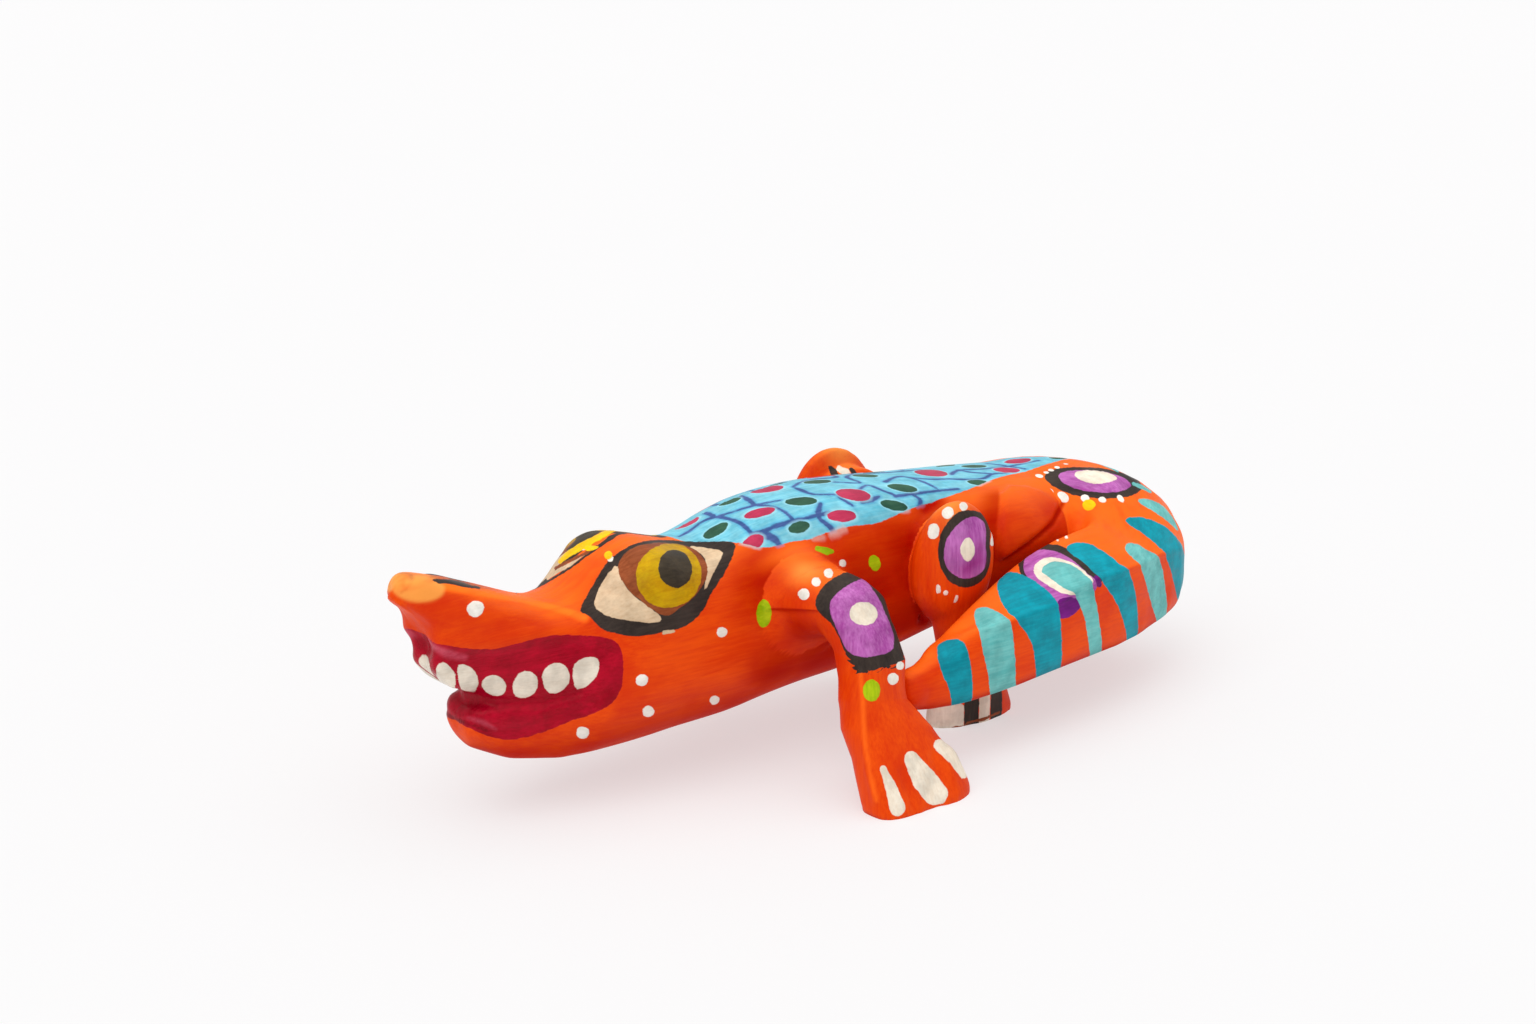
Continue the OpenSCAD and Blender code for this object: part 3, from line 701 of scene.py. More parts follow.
LAYERS = (
    "umber", "blue", "net", "red", "green", "smear", "crimson", "shade", "highlight", "tooth", "charcoal",
    "cream", "brown", "mustard", "pupil", "violet", "magenta", "plum", "spot", "teal", "aqua", "white",
    "sun", "lime",
)
FAR = 3.0
TRUNK, TAIL = 0, 1

# Which part of the carving each vertex is on, as its number in WOOD
gaps = np.stack([distance_to([name], skin_points, 8.0) for name in WOOD], 1)
vertex_part = gaps.argmin(1)
skin_normals = normals_of(skin_points, skin_quads)
layers = {name: np.full(len(skin_points), FAR) for name in LAYERS}
joint = paste_gap < 3.5


def half(mirror):
    """The vertices on the figure's left side, or on its right side."""
    return (skin_points[:, 1] > 0) == mirror


def head(mirror):
    return half(mirror) & (vertex_part == TRUNK) & (skin_points[:, 0] < -20)


def part(name):
    return vertex_part == WOOD.index(name)


def from_painter(mask, mirror=False, shift=(0, 0, 0)):
    """Some vertices, their places in the painter's plane, and how plainly the painter sees them."""
    where = np.flatnonzero(mask)
    flip = np.array([1, -1 if mirror else 1, 1])
    p, n = (skin_points[where] - shift) * flip, skin_normals[where] * flip
    return where, np.stack([p @ RIGHT, p @ UP], 1), smoothstep(-0.15, 0.0, n @ NEAR)


def lay(where, shapes, seen=1):
    """Adds shapes to the layers at some vertices. seen is 0 where the brush doesn't reach."""
    for name, gap in shapes.items():
        gap = np.clip(gap, -FAR, FAR) + (1 - seen) * 2 * FAR
        layers[name][where] = np.minimum(layers[name][where], gap)


def lay_trunk(mirror):
    """One side of the trunk, with the marks that run on to it from the front leg."""
    where, q, seen = from_painter(half(mirror) & ((vertex_part == TRUNK) | joint), mirror)
    shapes = paint_head(q)
    shapes["white"] = nearest(shapes["white"], dots(q, LEG_DOTS[:4]))
    if mirror:
        # The blue of the neck covers the back corner of the right eye
        covered = 2 * FAR * (outline(skin_points[where][:, :2], BACK_LEFT + BACK_RIGHT) < 0)
        for name in ("charcoal", "cream", "brown"):
            shapes[name] = shapes[name] + covered
    lay(where, shapes, seen)


def lay_leg(leg, paint, mirror):
    low, high = box(leg + "_leg")
    inside = np.all((skin_points > low - 1) & (skin_points < high + 1), axis=1)
    close = gaps[:, WOOD.index(leg + "_leg")] < 1.0
    mask = half(mirror) & (part(leg + "_leg") | (joint & inside & close))
    where, q, seen = from_painter(mask, mirror, seat_shift(leg))
    shapes = paint(q)
    if leg == "hind_right":
        # Its top has the marks that show over the back instead
        shapes["white"] = shapes["white"] + 2 * FAR * (skin_points[where][:, 2] > 42)
    lay(where, shapes, seen)


def lay_over(mask, marks):
    """Marks on the right side that are seen from the left, over the head or the back."""
    where, q, seen = from_painter(mask)
    lay(where, {name: strokes(q, rows) for name, rows in marks.items()}, seen)


def lay_tail():
    where, q, seen = from_painter(vertex_part == TAIL)
    lay(where, paint_tail(q), seen)
    for *place, radius in HIP_DOTS:
        lay(where, {"white": np.linalg.norm(skin_points[where] - place, axis=1) - radius})
    lay(where, {"sun": np.linalg.norm(skin_points[where] - HIP_SUN, axis=1) - 1.3})


def lay_back():
    where = np.flatnonzero((vertex_part <= TAIL) & (skin_points[:, 2] > 30))
    shapes = paint_back(skin_points[where][:, :2])
    for name in ("net", "red", "green"):
        shapes[name] = np.maximum(shapes[name], shapes["blue"])
    lay(where, shapes, skin_normals[where, 2] >= -0.1)


for mirror, side in ((False, "left"), (True, "right")):
    lay_trunk(mirror)
    lay_leg("front_" + side, paint_front_leg, mirror)
    lay_leg("hind_" + side, paint_hind_leg, mirror)
lay_tail()
lay_over((vertex_part == TRUNK) & (skin_points[:, 1] > -2) & (skin_points[:, 0] < -20), FAR_EYE)
lay_over((skin_points[:, 1] > 13) & (skin_points[:, 0] > 15) & (skin_points[:, 0] < 45), FAR_KNEE)
lay_back()

# ---------------------------------------------------------------- carved relief

# Paint that stands a little proud, and its height
PROUD = {"white": 0.16, "sun": 0.14, "spot": 0.06, "cream": 0.05, "pupil": 0.08, "lime": 0.08}
# Rows of carving: [height, how far it reaches, how wide it is at full height, the stroke it follows]
HEAD_CARVING = [
    # The groove between the lips, and the crease in the lower lip
    (-0.9, 1.6, 0, LIP_GROOVE),
    (-0.25, 0.7, 0, [(-62, 4.9), (-58.8, 5), (-56.2, 4.2), (-54, 3)]),
    # The ledge over the gums, the snout's edge and the swell of the lower lip
    (0.35, 2.2, 0, [(-70, 21), (-63, 19.8), (-54, 19.4), (-46, 21.4), (-38, 22)]),
    (0.45, 1.5, 0, SNOUT_EDGE),
    (0.5, 2.6, 0, [(-62, 6.4), (-54, 5), (-46, 5.4)]),
    # The gum stands out at the front, and the nose's corner is cut back
    (0.8, 3.4, 0.6, [(-66, 14.5), (-63.8, 12.5), (-60.5, 11.2)]),
    (-1.7, 5.5, 1, [(-71.5, 28.5), (-70.5, 25), (-68, 21.5)]),
]
# Rounding of the upper gum and the chin, all the way round
CHIN_CARVING = [
    (-0.9, 3.5, 0.5, [(-68.5, 18.5), (-67.5, 15.5)]),
    (-1.3, 8, 0.5, [(-67, 2), (-63.5, -1.5), (-59, -3)]),
    (-0.5, 6, 0.5, [(-53, -4.5), (-47, -4.9)]),
]
# The shin's edge, and the grooves between the toes
LEG_CARVING = [
    (0.5, 1.3, 0, SHIN_EDGE), (-0.35, 1.1, 0, [(21.2, -5), (23.6, -12.6)]),
    (-0.35, 1.1, 0, [(27.2, -2.6), (30.4, -9.6)]),
]
FOLD_CARVING = [(-0.6, 0.9, 0, FOLD_EDGE), (-0.7, 1.3, 0, THIGH_EDGE)]
TAIL_TIP_CARVING = [(1, 3.6, 0.5, [(22, 11.4), (23.8, 8.6)])]


def carve(where, q, seen, rows):
    for height, reach, full, points in rows:
        relief[where] += height * seen * smoothstep(reach, full, stroke(q, points))


def carve_head(mirror):
    where, q, seen = from_painter(head(mirror), mirror)
    carve(where, q, seen, HEAD_CARVING)
    carve(where, q, 1, CHIN_CARVING)
    # The rim round the bulging eye
    relief[where] += 0.35 * seen * smoothstep(2.4, 0.0, np.abs(oval(q, -22.4, 31.2, 1.5, 1.5)) - 2.0)


def carve_front_leg(leg, mirror):
    where, q, seen = from_painter(half(mirror) & part(leg + "_leg"), mirror, seat_shift(leg))
    carve(where, q, seen, LEG_CARVING)
    # The outer side of the foot is fuller
    relief[where] += 1.2 * smoothstep(27, 31, q[:, 0]) * smoothstep(2, -3, q[:, 1])


def carve_fold():
    mask = (vertex_part <= TAIL) & (skin_points[:, 1] < -8) & (skin_points[:, 0] > 20)
    where, q, seen = from_painter(mask)
    flap = smoothstep(0.5, -1.0, outline(q, FOLD, 1)) * seen
    relief[where] += flap * np.interp(q[:, 0], [41, 43, 55], [1.5, 1.7, 0.2])
    carve(where, q, seen, FOLD_CARVING)


def carve_tail():
    where, q, seen = from_painter(vertex_part == TAIL)
    carve(where, q, seen, [(0.5, 1.5, 0, TAIL_EDGE)])
    carve(where, q, 1, TAIL_TIP_CARVING)


relief = np.zeros(len(skin_points))
# The mouth is sunk, and the teeth stand out from it
relief -= 0.55 * smoothstep(0.3, -2.2, layers["crimson"])
relief += 0.25 * smoothstep(0.3, -0.5, layers["tooth"])
for name, height in PROUD.items():
    relief += height * smoothstep(0.25, -0.35, layers[name])
carve_head(False)
carve_head(True)
carve_front_leg("front_left", False)
carve_front_leg("front_right", True)
carve_fold()
carve_tail()
relief = relax(relief[:, None], skin_edges, 0.5, 2)[:, 0]
skin_points = skin_points + skin_normals * relief[:, None]

# ---------------------------------------------------------------- the direction of the brush

# Along the body, along the tail or down a leg, then across. The body's axis is at AXIS_Z.
AXIS_Z = 32
TAIL_RADIUS = 18
x, y, z = skin_points.T
reach = np.hypot(x - PIVOT[0], y - PIVOT[1])
turn = np.arctan2(x - PIVOT[0], -(y - PIVOT[1]))
straight = x < PIVOT[0]
along_tail = np.where(straight, x - PIVOT[0], turn * TAIL_RADIUS)
grain = np.stack([x, 16 * np.arctan2(y, z - AXIS_Z), np.hypot(y, z - AXIS_Z)], 1)
on_tail = vertex_part == TAIL
grain[on_tail] = np.stack([along_tail, z, np.where(straight, np.abs(y - PIVOT[1]), reach)], 1)[on_tail]
on_leg = (vertex_part > TAIL) & (paste_gap > 2)
grain[on_leg] = np.stack([z, x, y], 1)[on_leg]

# ---------------------------------------------------------------- wear, painted highlights and painted shade

# Paint is thin or rubbed on what stands out most, and a highlight is painted there too: [x, y, z, radius]
WORN_AND_LIT = [(-12, -20.5, 41.5, 3), (-9, 21, 40.5, 3), (23, -21, 46.5, 4), (29, 20, 48, 4)]
# Painted shade, deep red, in the hollows: [x, distance from the middle, z, radius]
SHADED_HOLLOWS = [
    (6, 18, 34, 12), (16, 18, 38, 11), (12, 18, 24, 12), (21, 16, 28, 9), (-14, 18, 18, 9),
    (-4, 18, 20, 12), (30, 18, 24, 12), (45, 18, 24, 12), (-18, 18, 38, 7),
]


def spots(rows, both_sides=False):
    """How near each vertex is to some places, from 0 to 1."""
    out = np.zeros(len(skin_points))
    for *place, radius in rows:
        for flip in (1, -1) if both_sides else (1,):
            gap = np.linalg.norm(skin_points * (1, flip, 1) - place, axis=1)
            out = np.maximum(out, np.exp(-((gap / radius) ** 2)))
    return out


def raise_to(values, where, least):
    values[where] = np.maximum(values[where], least)


# Paint worn thin with a painted highlight on the nose, and painted highlights along the snout's edge and
# the shin's edge
def paint_highlights_on_head_and_leg(leg, mirror):
    where, q, seen = from_painter(head(mirror), mirror)
    raise_to(worn_and_lit, where, seen * smoothstep(0.5, -0.5, oval(q, *NOSE_PATCH)))
    raise_to(painted_light, where, seen * smoothstep(1.5, 0.2, stroke(q, SNOUT_EDGE)))
    where, q, seen = from_painter(half(mirror) & part(leg + "_leg"), mirror, seat_shift(leg))
    raise_to(painted_light, where, 0.45 * seen * smoothstep(0.8, 0.0, stroke(q, SHIN_EDGE)))


# A painted highlight on the top of the tail, above its carved edge
def paint_highlight_on_tail_top():
    where, q, seen = from_painter(vertex_part == TAIL)
    above = q[:, 1] - np.interp(q[:, 0], *np.array(TAIL_EDGE).T)
    raise_to(painted_light, where, 0.7 * seen * smoothstep(-0.4, 0.5, above))


def shade_thigh():
    """Painted shade, deep red, in front of the thigh, behind it up to the fold, and in a line under the
    fold.
    """
    mask = (vertex_part <= TAIL) & (skin_points[:, 1] < -8) & (skin_points[:, 0] > 5)
    where, q, seen = from_painter(mask)
    beside = smoothstep(5, 0, stroke(q, THIGH_EDGE))
    before_fold = np.interp(q[:, 1], [32, 40.9, 47.4], [40.9, 41.3, 42.2]) - q[:, 0]
    behind = 0.85 * smoothstep(6, 0, before_fold) * smoothstep(-0.6, 0.2, before_fold)
    behind *= smoothstep(30, 34, q[:, 1]) * smoothstep(49, 46, q[:, 1])
    shaded = np.where(vertex_part[where] == TRUNK, np.maximum(beside, behind), 0)
    raise_to(painted_shade, where, seen * np.maximum(shaded, smoothstep(0.9, 0, stroke(q, FOLD_EDGE))))


# Paint worn thin that is also a painted highlight, and painted shade in the trunk's hollows
worn_and_lit = 0.6 * spots(WORN_AND_LIT)
painted_shade = np.where(vertex_part == TRUNK, 0.95 * spots(SHADED_HOLLOWS, True), 0)
# What faces down gets painted shade, except under the nose, and what faces up gets painted light
facing_down = smoothstep(-0.1, -0.8, skin_normals[:, 2])
painted_shade = np.maximum(painted_shade, 0.8 * facing_down * smoothstep(-80, -74, skin_points[:, 0]))
painted_light = 0.75 * smoothstep(0.55, 1.0, skin_normals[:, 2])
paint_highlights_on_head_and_leg("front_left", False)
paint_highlights_on_head_and_leg("front_right", True)
paint_highlight_on_tail_top()
shade_thigh()

# ---------------------------------------------------------------- materials


def srgb(r, g, b):
    """A colour as it looks on a screen, 0 to 255, as the shader wants it."""
    values = [v / 255 for v in (r, g, b)]
    return tuple(v / 12.92 if v <= 0.04045 else ((v + 0.055) / 1.055) ** 2.4 for v in values) + (1.0,)


class Nodes:
    """Short ways to add and join shader nodes."""

    def __init__(self, name):
        self.material = bpy.data.materials.new(name)
        self.material.use_nodes = True
        self.tree = self.material.node_tree
        self.shader = self.tree.nodes["Principled BSDF"]

    def add(self, kind, **values):
        node = self.tree.nodes.new("ShaderNode" + kind)
        for key, value in values.items():
            setattr(node, key, value)
        return node

    def join(self, source, socket):
        if isinstance(source, bpy.types.NodeSocket):
            self.tree.links.new(source, socket)
        else:
            socket.default_value = source

    def math(self, operation, *inputs, clamp=False):
        node = self.add("Math", operation=operation, use_clamp=clamp)
        for socket, value in zip(node.inputs, inputs):
            self.join(value, socket)
        return node.outputs[0]

    def vector(self, operation, a, b=None, scale=None):
        node = self.add("VectorMath", operation=operation)
        self.join(a, node.inputs[0])
        if b is not None:
            self.join(b, node.inputs[1])
        if scale is not None:
            self.join(scale, node.inputs["Scale"])
        return node.outputs[0]

    def attribute(self, name, vector=False):
        node = self.add("Attribute", attribute_name=name)
        return node.outputs["Vector" if vector else "Fac"]

    def noise(self, vector, scale, detail=2.0, rough=0.5):
        node = self.add("TexNoise")
        self.join(vector, node.inputs["Vector"])
        node.inputs["Scale"].default_value = scale
        node.inputs["Detail"].default_value = detail
        node.inputs["Roughness"].default_value = rough
        return node.outputs["Fac"]

    def ramp(self, value, low, high, to_low=0.0, to_high=1.0):
        node = self.add("MapRange", interpolation_type="SMOOTHSTEP")
        for socket, v in zip(node.inputs, (value, low, high, to_low, to_high)):
            self.join(v, socket)
        return node.outputs[0]

    def mix(self, factor, a, b):
        node = self.add("Mix", data_type="RGBA")
        self.join(factor, node.inputs["Factor"])
        self.join(a, node.inputs["A"])
        self.join(b, node.inputs["B"])
        return node.outputs["Result"]


# The two tints that each layer is brushed with
TINTS = {
    "umber": (srgb(120, 62, 34), srgb(158, 92, 60)),
    "smear": (srgb(216, 170, 160), srgb(236, 214, 206)),
    "shade": (srgb(96, 0, 14), srgb(112, 0, 20)),
    "highlight": (srgb(186, 50, 74), srgb(204, 84, 104)),
    "blue": (srgb(92, 182, 206), srgb(136, 206, 222)),
    "net": (srgb(38, 56, 120), srgb(74, 84, 150)),
    "red": (srgb(176, 40, 78), srgb(196, 60, 92)),
    "green": (srgb(36, 78, 62), srgb(58, 98, 76)),
    "crimson": (srgb(152, 0, 26), srgb(182, 4, 40)),
    "charcoal": (srgb(44, 37, 35), srgb(66, 56, 50)),
    "cream": (srgb(208, 176, 140), srgb(228, 202, 168)),
    "brown": (srgb(124, 56, 24), srgb(158, 84, 48)),
    "mustard": (srgb(182, 132, 0), srgb(206, 166, 4)),
    "pupil": (srgb(50, 43, 33), srgb(76, 66, 52)),
    "violet": (srgb(158, 62, 148), srgb(198, 118, 190)),
    "magenta": (srgb(142, 14, 112), srgb(168, 40, 140)),
    "plum": (srgb(92, 8, 104), srgb(122, 24, 130)),
    "spot": (srgb(230, 214, 192), srgb(244, 234, 216)),
    "teal": (srgb(0, 132, 150), srgb(2, 158, 176)),
    "aqua": (srgb(88, 174, 172), srgb(122, 196, 192)),
    "tooth": (srgb(218, 204, 186), srgb(232, 222, 206)),
    "white": (srgb(232, 226, 214), srgb(246, 242, 234)),
    "sun": (srgb(244, 188, 0), srgb(252, 214, 20)),
    "lime": (srgb(142, 178, 0), srgb(184, 204, 20)),
}
# Layers that fade out softly: how wide the edge is, and how strong the paint is
SOFT = {
    "umber": (0.7, 0.6), "smear": (0.4, 0.5), "shade": (0.3, 0.75), "highlight": (0.6, 0.75),
    "magenta": (1.2, 0.7), "net": (0.22, 0.9),
}
# A thin glaze round some layers
HALOS = {"net": srgb(66, 150, 204), "red": srgb(176, 230, 240), "green": srgb(170, 226, 238)}
ORANGE = srgb(226, 58, 0), srgb(244, 82, 2)
RED_ORANGE = srgb(214, 40, 0)
# Colours of painted shade, of painted highlight, and of paint worn thin that is also a painted highlight
SHADE_RED = srgb(190, 12, 0)
HIGHLIGHT_ORANGE = srgb(250, 116, 26)
THIN_OR_LIT_ORANGE = srgb(252, 158, 70)


def painted(name, used):
    """Brushed acrylic over orange, with the layers that a part has."""
    n = Nodes(name)
    grain = n.attribute("grain", vector=True)
    place = n.vector("SCALE", n.add("TexCoord").outputs["Object"], scale=1 / MM)
    bristle = n.noise(n.vector("MULTIPLY", grain, (0.16, 1.9, 1.9)), 1.0, 3.0, 0.6)
    sweep = n.noise(n.vector("MULTIPLY", grain, (0.05, 0.32, 0.32)), 1.0, 2.0)
    blotch = n.noise(place, 0.09, 3.0)
    mottle = n.ramp(n.noise(place, 0.3, 3.0, 0.6), 0.3, 0.7, 0.86, 1.12)
    edge = n.math("MULTIPLY", n.math("SUBTRACT", n.noise(place, 0.55, 2.0, 0.6), 0.5), 0.5)
    dry = n.math("MULTIPLY", n.math("SUBTRACT", bristle, 0.5), 0.25)
    wobble = n.math("ADD", edge, dry)
    tone = n.ramp(n.math("ADD", n.math("MULTIPLY", bristle, 0.5), n.math("MULTIPLY", sweep, 0.5)), 0.3, 0.7)

    painted_light, painted_shade = n.attribute("painted_light"), n.attribute("painted_shade")
    colour = n.mix(tone, *ORANGE)
    colour = n.mix(n.ramp(blotch, 0.42, 0.7, 0.0, 0.6), colour, RED_ORANGE)
    # Painted light where the surface faces up, painted shade in hollows and underneath, then worn paint
    # with painted highlights
    colour = n.mix(n.math("MULTIPLY", painted_light, n.ramp(sweep, 0.3, 0.6, 0.7, 1.0)), colour, HIGHLIGHT_ORANGE)
    colour = n.mix(n.math("MULTIPLY", painted_shade, n.ramp(sweep, 0.3, 0.6, 1.0, 0.8)), colour, SHADE_RED)
    thin_or_lit = n.math("MULTIPLY", n.attribute("worn_and_lit"), n.ramp(sweep, 0.2, 0.5, 0.5, 1.0), clamp=True)
    colour = n.mix(thin_or_lit, colour, THIN_OR_LIT_ORANGE)
    height = n.math("MULTIPLY", tone, 0.35)

    lip = 0.0
    for layer in LAYERS:
        if layer in used:
            gap = n.math("ADD", n.attribute(layer), wobble)
            soft, strength = SOFT.get(layer, (0.09, 1.0))
            if layer in HALOS:
                colour = n.mix(n.ramp(gap, 0.75, 0.1, 0.0, 0.45), colour, HALOS[layer])
            mask = n.ramp(gap, soft, -soft, 0.0, strength)
            tint = n.vector("SCALE", n.mix(tone, *TINTS[layer]), scale=mottle)
            colour = n.mix(mask, colour, tint)
            height = n.math("ADD", height, n.math("MULTIPLY", mask, 0.8))
            if layer == "crimson":
                lip = mask
    # Light catches what faces up, and hollows keep a little shade
    caught = n.math("ADD", n.math("MULTIPLY", painted_light, 0.3), 1.0)
    shade = n.math("SUBTRACT", caught, n.math("MULTIPLY", painted_shade, 0.2))
    n.join(n.vector("SCALE", colour, scale=shade), n.shader.inputs["Base Color"])
    rough = n.math("ADD", n.ramp(tone, 0, 1, 0.4, 0.55), n.ramp(blotch, 0.3, 0.7, -0.05, 0.07))
    rough = n.math("SUBTRACT", rough, n.math("MULTIPLY", lip, 0.16))
    n.join(rough, n.shader.inputs["Roughness"])
    n.join(n.ramp(painted_shade, 0.0, 0.7, 0.12, 0.02), n.shader.inputs["Specular IOR Level"])
    n.shader.inputs["Specular Tint"].default_value = (1.0, 0.85, 0.75, 1.0)
    bump = n.add("Bump")
    bump.inputs["Strength"].default_value = 0.9
    bump.inputs["Distance"].default_value = 0.05 * MM
    fine = n.noise(place, 2.6, 3.0, 0.6)
    n.join(n.math("ADD", height, n.math("MULTIPLY", fine, 0.5)), bump.inputs["Height"])
    n.join(bump.outputs[0], n.shader.inputs["Normal"])
    return n.material


BACK_LAYERS = ("blue", "net", "red", "green", "smear")
HEAD_LAYERS = BACK_LAYERS + (
    "umber", "crimson", "shade", "highlight", "charcoal", "cream", "brown", "mustard", "pupil", "tooth",
    "white", "sun", "lime",
)
LEG_LAYERS = ("charcoal", "brown", "violet", "magenta", "spot", "tooth", "white", "lime")
TAIL_LAYERS = BACK_LAYERS + ("charcoal", "violet", "plum", "spot", "teal", "aqua", "white", "sun")
body_paint = painted("body_paint", HEAD_LAYERS)
tail_paint = painted("tail_paint", TAIL_LAYERS)
leg_paint = painted("leg_paint", LEG_LAYERS)
paste_paint = painted("paste_paint", ("charcoal", "violet", "magenta", "spot", "white", "lime"))


def plain_wood(name, light, dark, rings):
    """Unpainted wood or sawdust paste."""
    n = Nodes(name)
    place = n.vector("SCALE", n.add("TexCoord").outputs["Object"], scale=1 / MM)
    streak = n.noise(n.vector("MULTIPLY", place, rings), 1.0, 4.0, 0.6)
    n.join(n.mix(n.ramp(streak, 0.3, 0.7), light, dark), n.shader.inputs["Base Color"])
    n.join(n.ramp(streak, 0.3, 0.7, 0.6, 0.8), n.shader.inputs["Roughness"])
    bump = n.add("Bump")
    bump.inputs["Strength"].default_value = 0.8
    bump.inputs["Distance"].default_value = 0.08 * MM
    n.join(streak, bump.inputs["Height"])
    n.join(bump.outputs[0], n.shader.inputs["Normal"])
    return n.material


peg_wood = plain_wood("peg_wood", srgb(222, 190, 142), srgb(184, 146, 96), (1.6, 0.3, 1.6))
dowel_wood = plain_wood("dowel_wood", srgb(222, 190, 142), srgb(184, 146, 96), (0.3, 1.6, 1.6))

# ---------------------------------------------------------------- pieces

# Each face of the skin goes to the piece of carving or paste that it lies on
centres = skin_points[skin_quads].mean(1)
face_part = vertex_part[skin_quads[:, 0]]
face_gap = distance_to(PASTES, centres, 6.0)
owner = np.array(WOOD, object)[face_part]
for leg in LEGS:
    low, high = box(leg + "_paste")
    centre = (low + high) / 2
    spread = np.hypot(centres[:, 0] - centre[0], centres[:, 2] - centre[2])
    side = np.sign(centre[1])
    owner[(face_gap < 1.3) & (spread < 16) & (np.sign(centres[:, 1]) == side)] = leg + "_paste"
in_seam = (centres[:, 0] > SEAM_LOW[0] - 0.1) & (centres[:, 0] < SEAM_HIGH[0] + 0.1)
in_seam &= centres[:, 1] > PIVOT[1] + 0.2
owner[in_seam] = "tail_paste_layer"


def rims_of(quads):
    """The open rims of some quads, as rings of vertices, and the set of their edges."""
    sides = np.concatenate([quads[:, [i, (i + 1) % 4]] for i in range(4)]).tolist()
    known = {(a, b) for a, b in sides}
    after = {}
    for a, b in sides:
        if (b, a) not in known:
            after.setdefault(b, []).append(a)
    rim_edges = {(min(a, b), max(a, b)) for a, ends in after.items() for b in ends}
    rings = []
    while after:
        start = next(iter(after))
        ring, here = [start], start
        while here in after:
            step = after[here].pop()
            if not after[here]:
                del after[here]
            here = step
            if here == start:
                break
            ring.append(here)
        rings.append(ring)
    return rings, rim_edges


def closed_piece(name, faces):
    """The skin over one piece, closed inside by a fan across each open rim."""
    used, local = np.unique(skin_quads[faces], return_inverse=True)
    quads = local.reshape(-1, 4)
    points = skin_points[used]
    rings, rim_edges = rims_of(quads)
    hubs = np.array([points[ring].mean(0) for ring in rings]).reshape(-1, 3)
    fans = []
    for hub, ring in enumerate(rings, len(points)):
        fans += [(a, b, hub) for a, b in zip(ring, ring[1:] + ring[:1])]
    mesh = new_mesh(name, np.concatenate([points, hubs]), quads.tolist() + fans)
    mesh.shade_smooth()
    ends = np.empty(len(mesh.edges) * 2, int)
    mesh.edges.foreach_get("vertices", ends)
    sharp = [(min(a, b), max(a, b)) in rim_edges for a, b in ends.reshape(-1, 2).tolist()]
    mesh.attributes.new("sharp_edge", "BOOLEAN", "EDGE").data.foreach_set("value", sharp)
    for layer, values in {**layers, "worn_and_lit": worn_and_lit, "painted_light": painted_light, "painted_shade": painted_shade}.items():
        at_hubs = np.full(len(hubs), FAR if layer in layers else 0.0)
        values = np.concatenate([values[used], at_hubs])
        mesh.attributes.new(layer, "FLOAT", "POINT").data.foreach_set("value", values)
    vectors = np.concatenate([grain[used], np.zeros((len(hubs), 3))])
    mesh.attributes.new("grain", "FLOAT_VECTOR", "POINT").data.foreach_set("vector", vectors.ravel())
    return mesh


def piece(name, mesh, node, material):
    obj = bpy.data.objects.new(name, mesh)
    bpy.context.scene.collection.objects.link(obj)
    mesh.materials.clear()
    mesh.materials.append(material)
    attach(obj, "root")
    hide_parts(node)


def paint_for(node):
    if node == "trunk":
        return "painted_body", body_paint
    if node == "tail":
        return "painted_tail", tail_paint
    if node.endswith("_leg"):
        return "painted_legs", leg_paint
    return ("sawdust_paste", tail_paint) if node == "tail_paste_layer" else ("painted_paste", paste_paint)


for node in WOOD + PASTES + ("tail_paste_layer",):
    faces = np.flatnonzero(owner == node)
    slot, material = paint_for(node)
    piece("carved_" + node, closed_piece("carved_" + node, faces), node, material)

# The pegs and dowels are hidden inside and keep their turned shape
for node in [leg + "_peg" for leg in LEGS] + ["tail_dowels"]:
    material = dowel_wood if node == "tail_dowels" else peg_wood
    mesh = new_mesh("whittled_" + node, *cad_mesh([node]))
    piece("whittled_" + node, mesh, node, material)

# ---------------------------------------------------------------- floor, light and camera


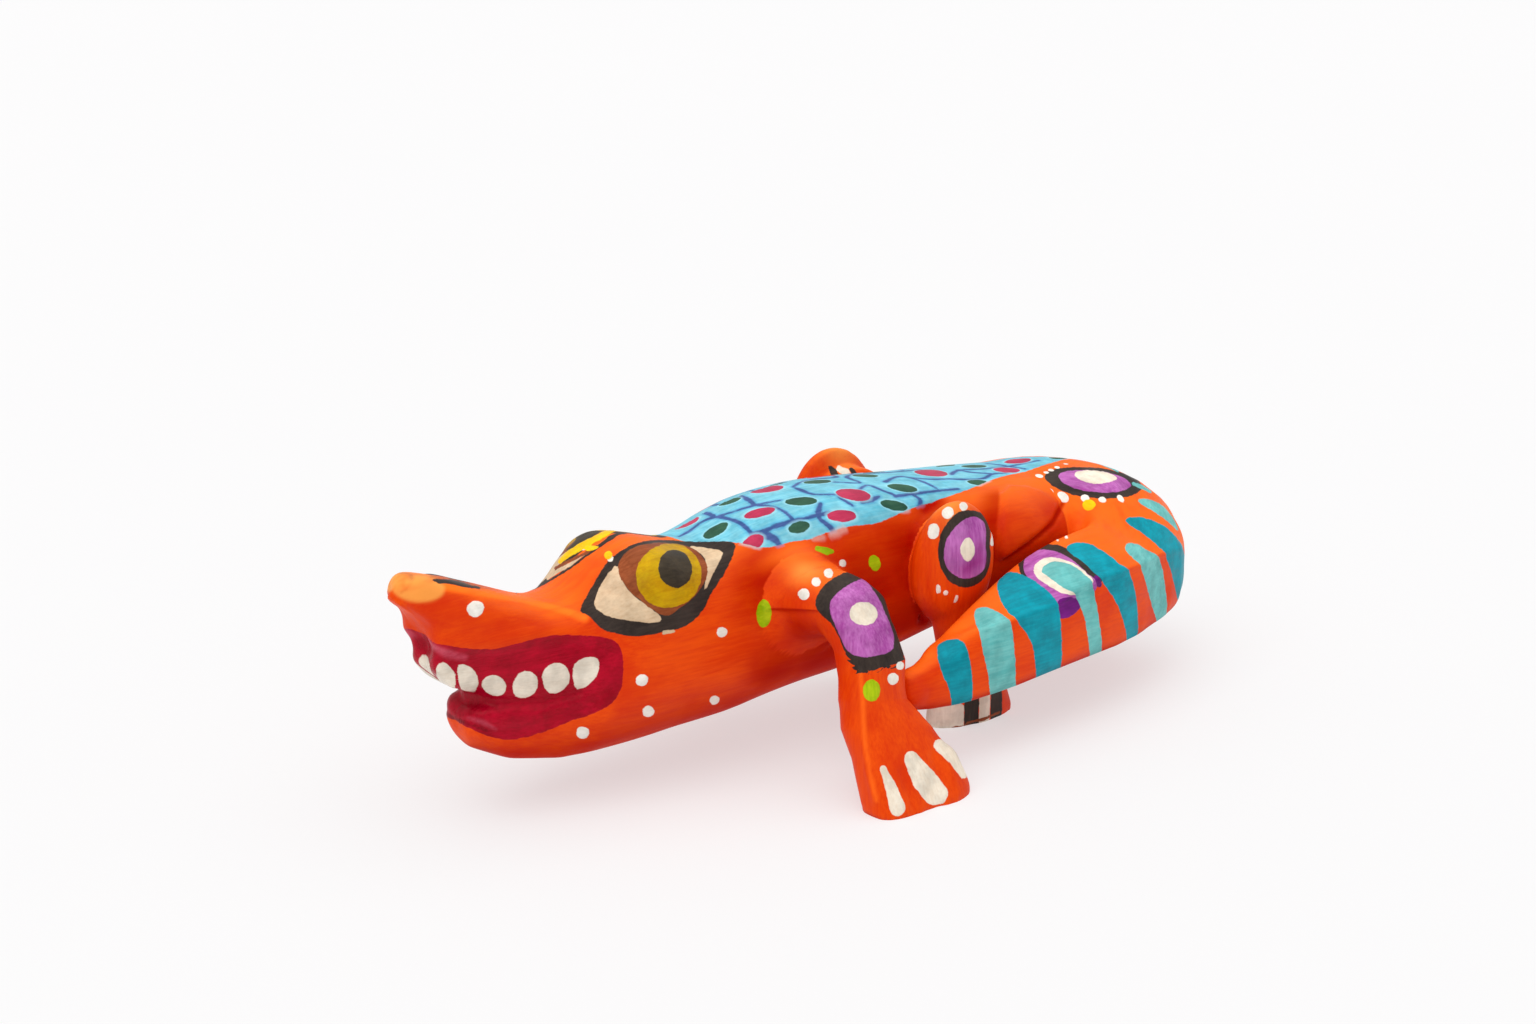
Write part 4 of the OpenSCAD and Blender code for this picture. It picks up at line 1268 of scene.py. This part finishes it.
def lit_paper(name, colour, glow, rough):
    """Pale paper with light coming through it, which keeps the shadows faint."""
    n = Nodes(name)
    place = n.add("TexCoord").outputs["Object"]
    speck = n.noise(place, 6.0, 3.0)
    darker = tuple(v * 0.985 for v in colour[:3]) + (1.0,)
    n.join(n.mix(speck, colour, darker), n.shader.inputs["Base Color"])
    n.shader.inputs["Roughness"].default_value = rough
    n.shader.inputs["Specular IOR Level"].default_value = 0.1
    n.shader.inputs["Emission Color"].default_value = (1.0, 0.995, 1.0, 1.0)
    n.shader.inputs["Emission Strength"].default_value = glow
    return n.material


FLOOR_HALF = 4000
PAPER_GREY = (0.42, 0.42, 0.422, 1.0)
PAPER_GLOW = 0.542
corners = [(-FLOOR_HALF, -FLOOR_HALF, 0), (FLOOR_HALF, -FLOOR_HALF, 0)]
corners += [(FLOOR_HALF, FLOOR_HALF, 0), (-FLOOR_HALF, FLOOR_HALF, 0)]
floor_mesh = new_mesh("floor", corners, [(0, 1, 2, 3)])
floor_mesh.materials.append(lit_paper("floor_paper", PAPER_GREY, PAPER_GLOW, 0.9))
floor = bpy.data.objects.new("floor", floor_mesh)
bpy.context.scene.collection.objects.link(floor)
floor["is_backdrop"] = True


def sun_light(name, height, azimuth, width, strength):
    """A wide soft light, from a height and azimuth in degrees."""
    data = bpy.data.lights.new(name, "SUN")
    data.energy = strength
    data.angle = math.radians(width)
    light = bpy.data.objects.new(name, data)
    light.rotation_euler = (math.radians(90 - height), 0, math.radians(azimuth))
    bpy.context.scene.collection.objects.link(light)
    light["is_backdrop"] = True


sun_light("key", 50, -70, 50, 0.75)
sun_light("overhead", 78, 40, 80, 0.75)

world = bpy.data.worlds.new("studio")
world.use_nodes = True
world.node_tree.nodes["Background"].inputs[0].default_value = (1.0, 0.99, 0.985, 1.0)
world.node_tree.nodes["Background"].inputs[1].default_value = 0.62
bpy.context.scene.world = world
bpy.context.scene.view_settings.view_transform = "Standard"

camera_data = bpy.data.cameras.new("camera")
camera_data.lens = 85
camera_data.sensor_width = 36
camera_data.clip_start = 0.01
camera = bpy.data.objects.new("camera", camera_data)
# The point at the middle of the view, and how far the camera is from it
LOOK_AT = np.array([-8.0, -4.0, 48.0])
CAMERA_DISTANCE = 697.4
camera.location = Vector((LOOK_AT + NEAR * CAMERA_DISTANCE) * MM)
camera.rotation_euler = (math.radians(90) - PAINTER[1], 0, PAINTER[0])
bpy.context.scene.collection.objects.link(camera)
bpy.context.scene.camera = camera

low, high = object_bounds()
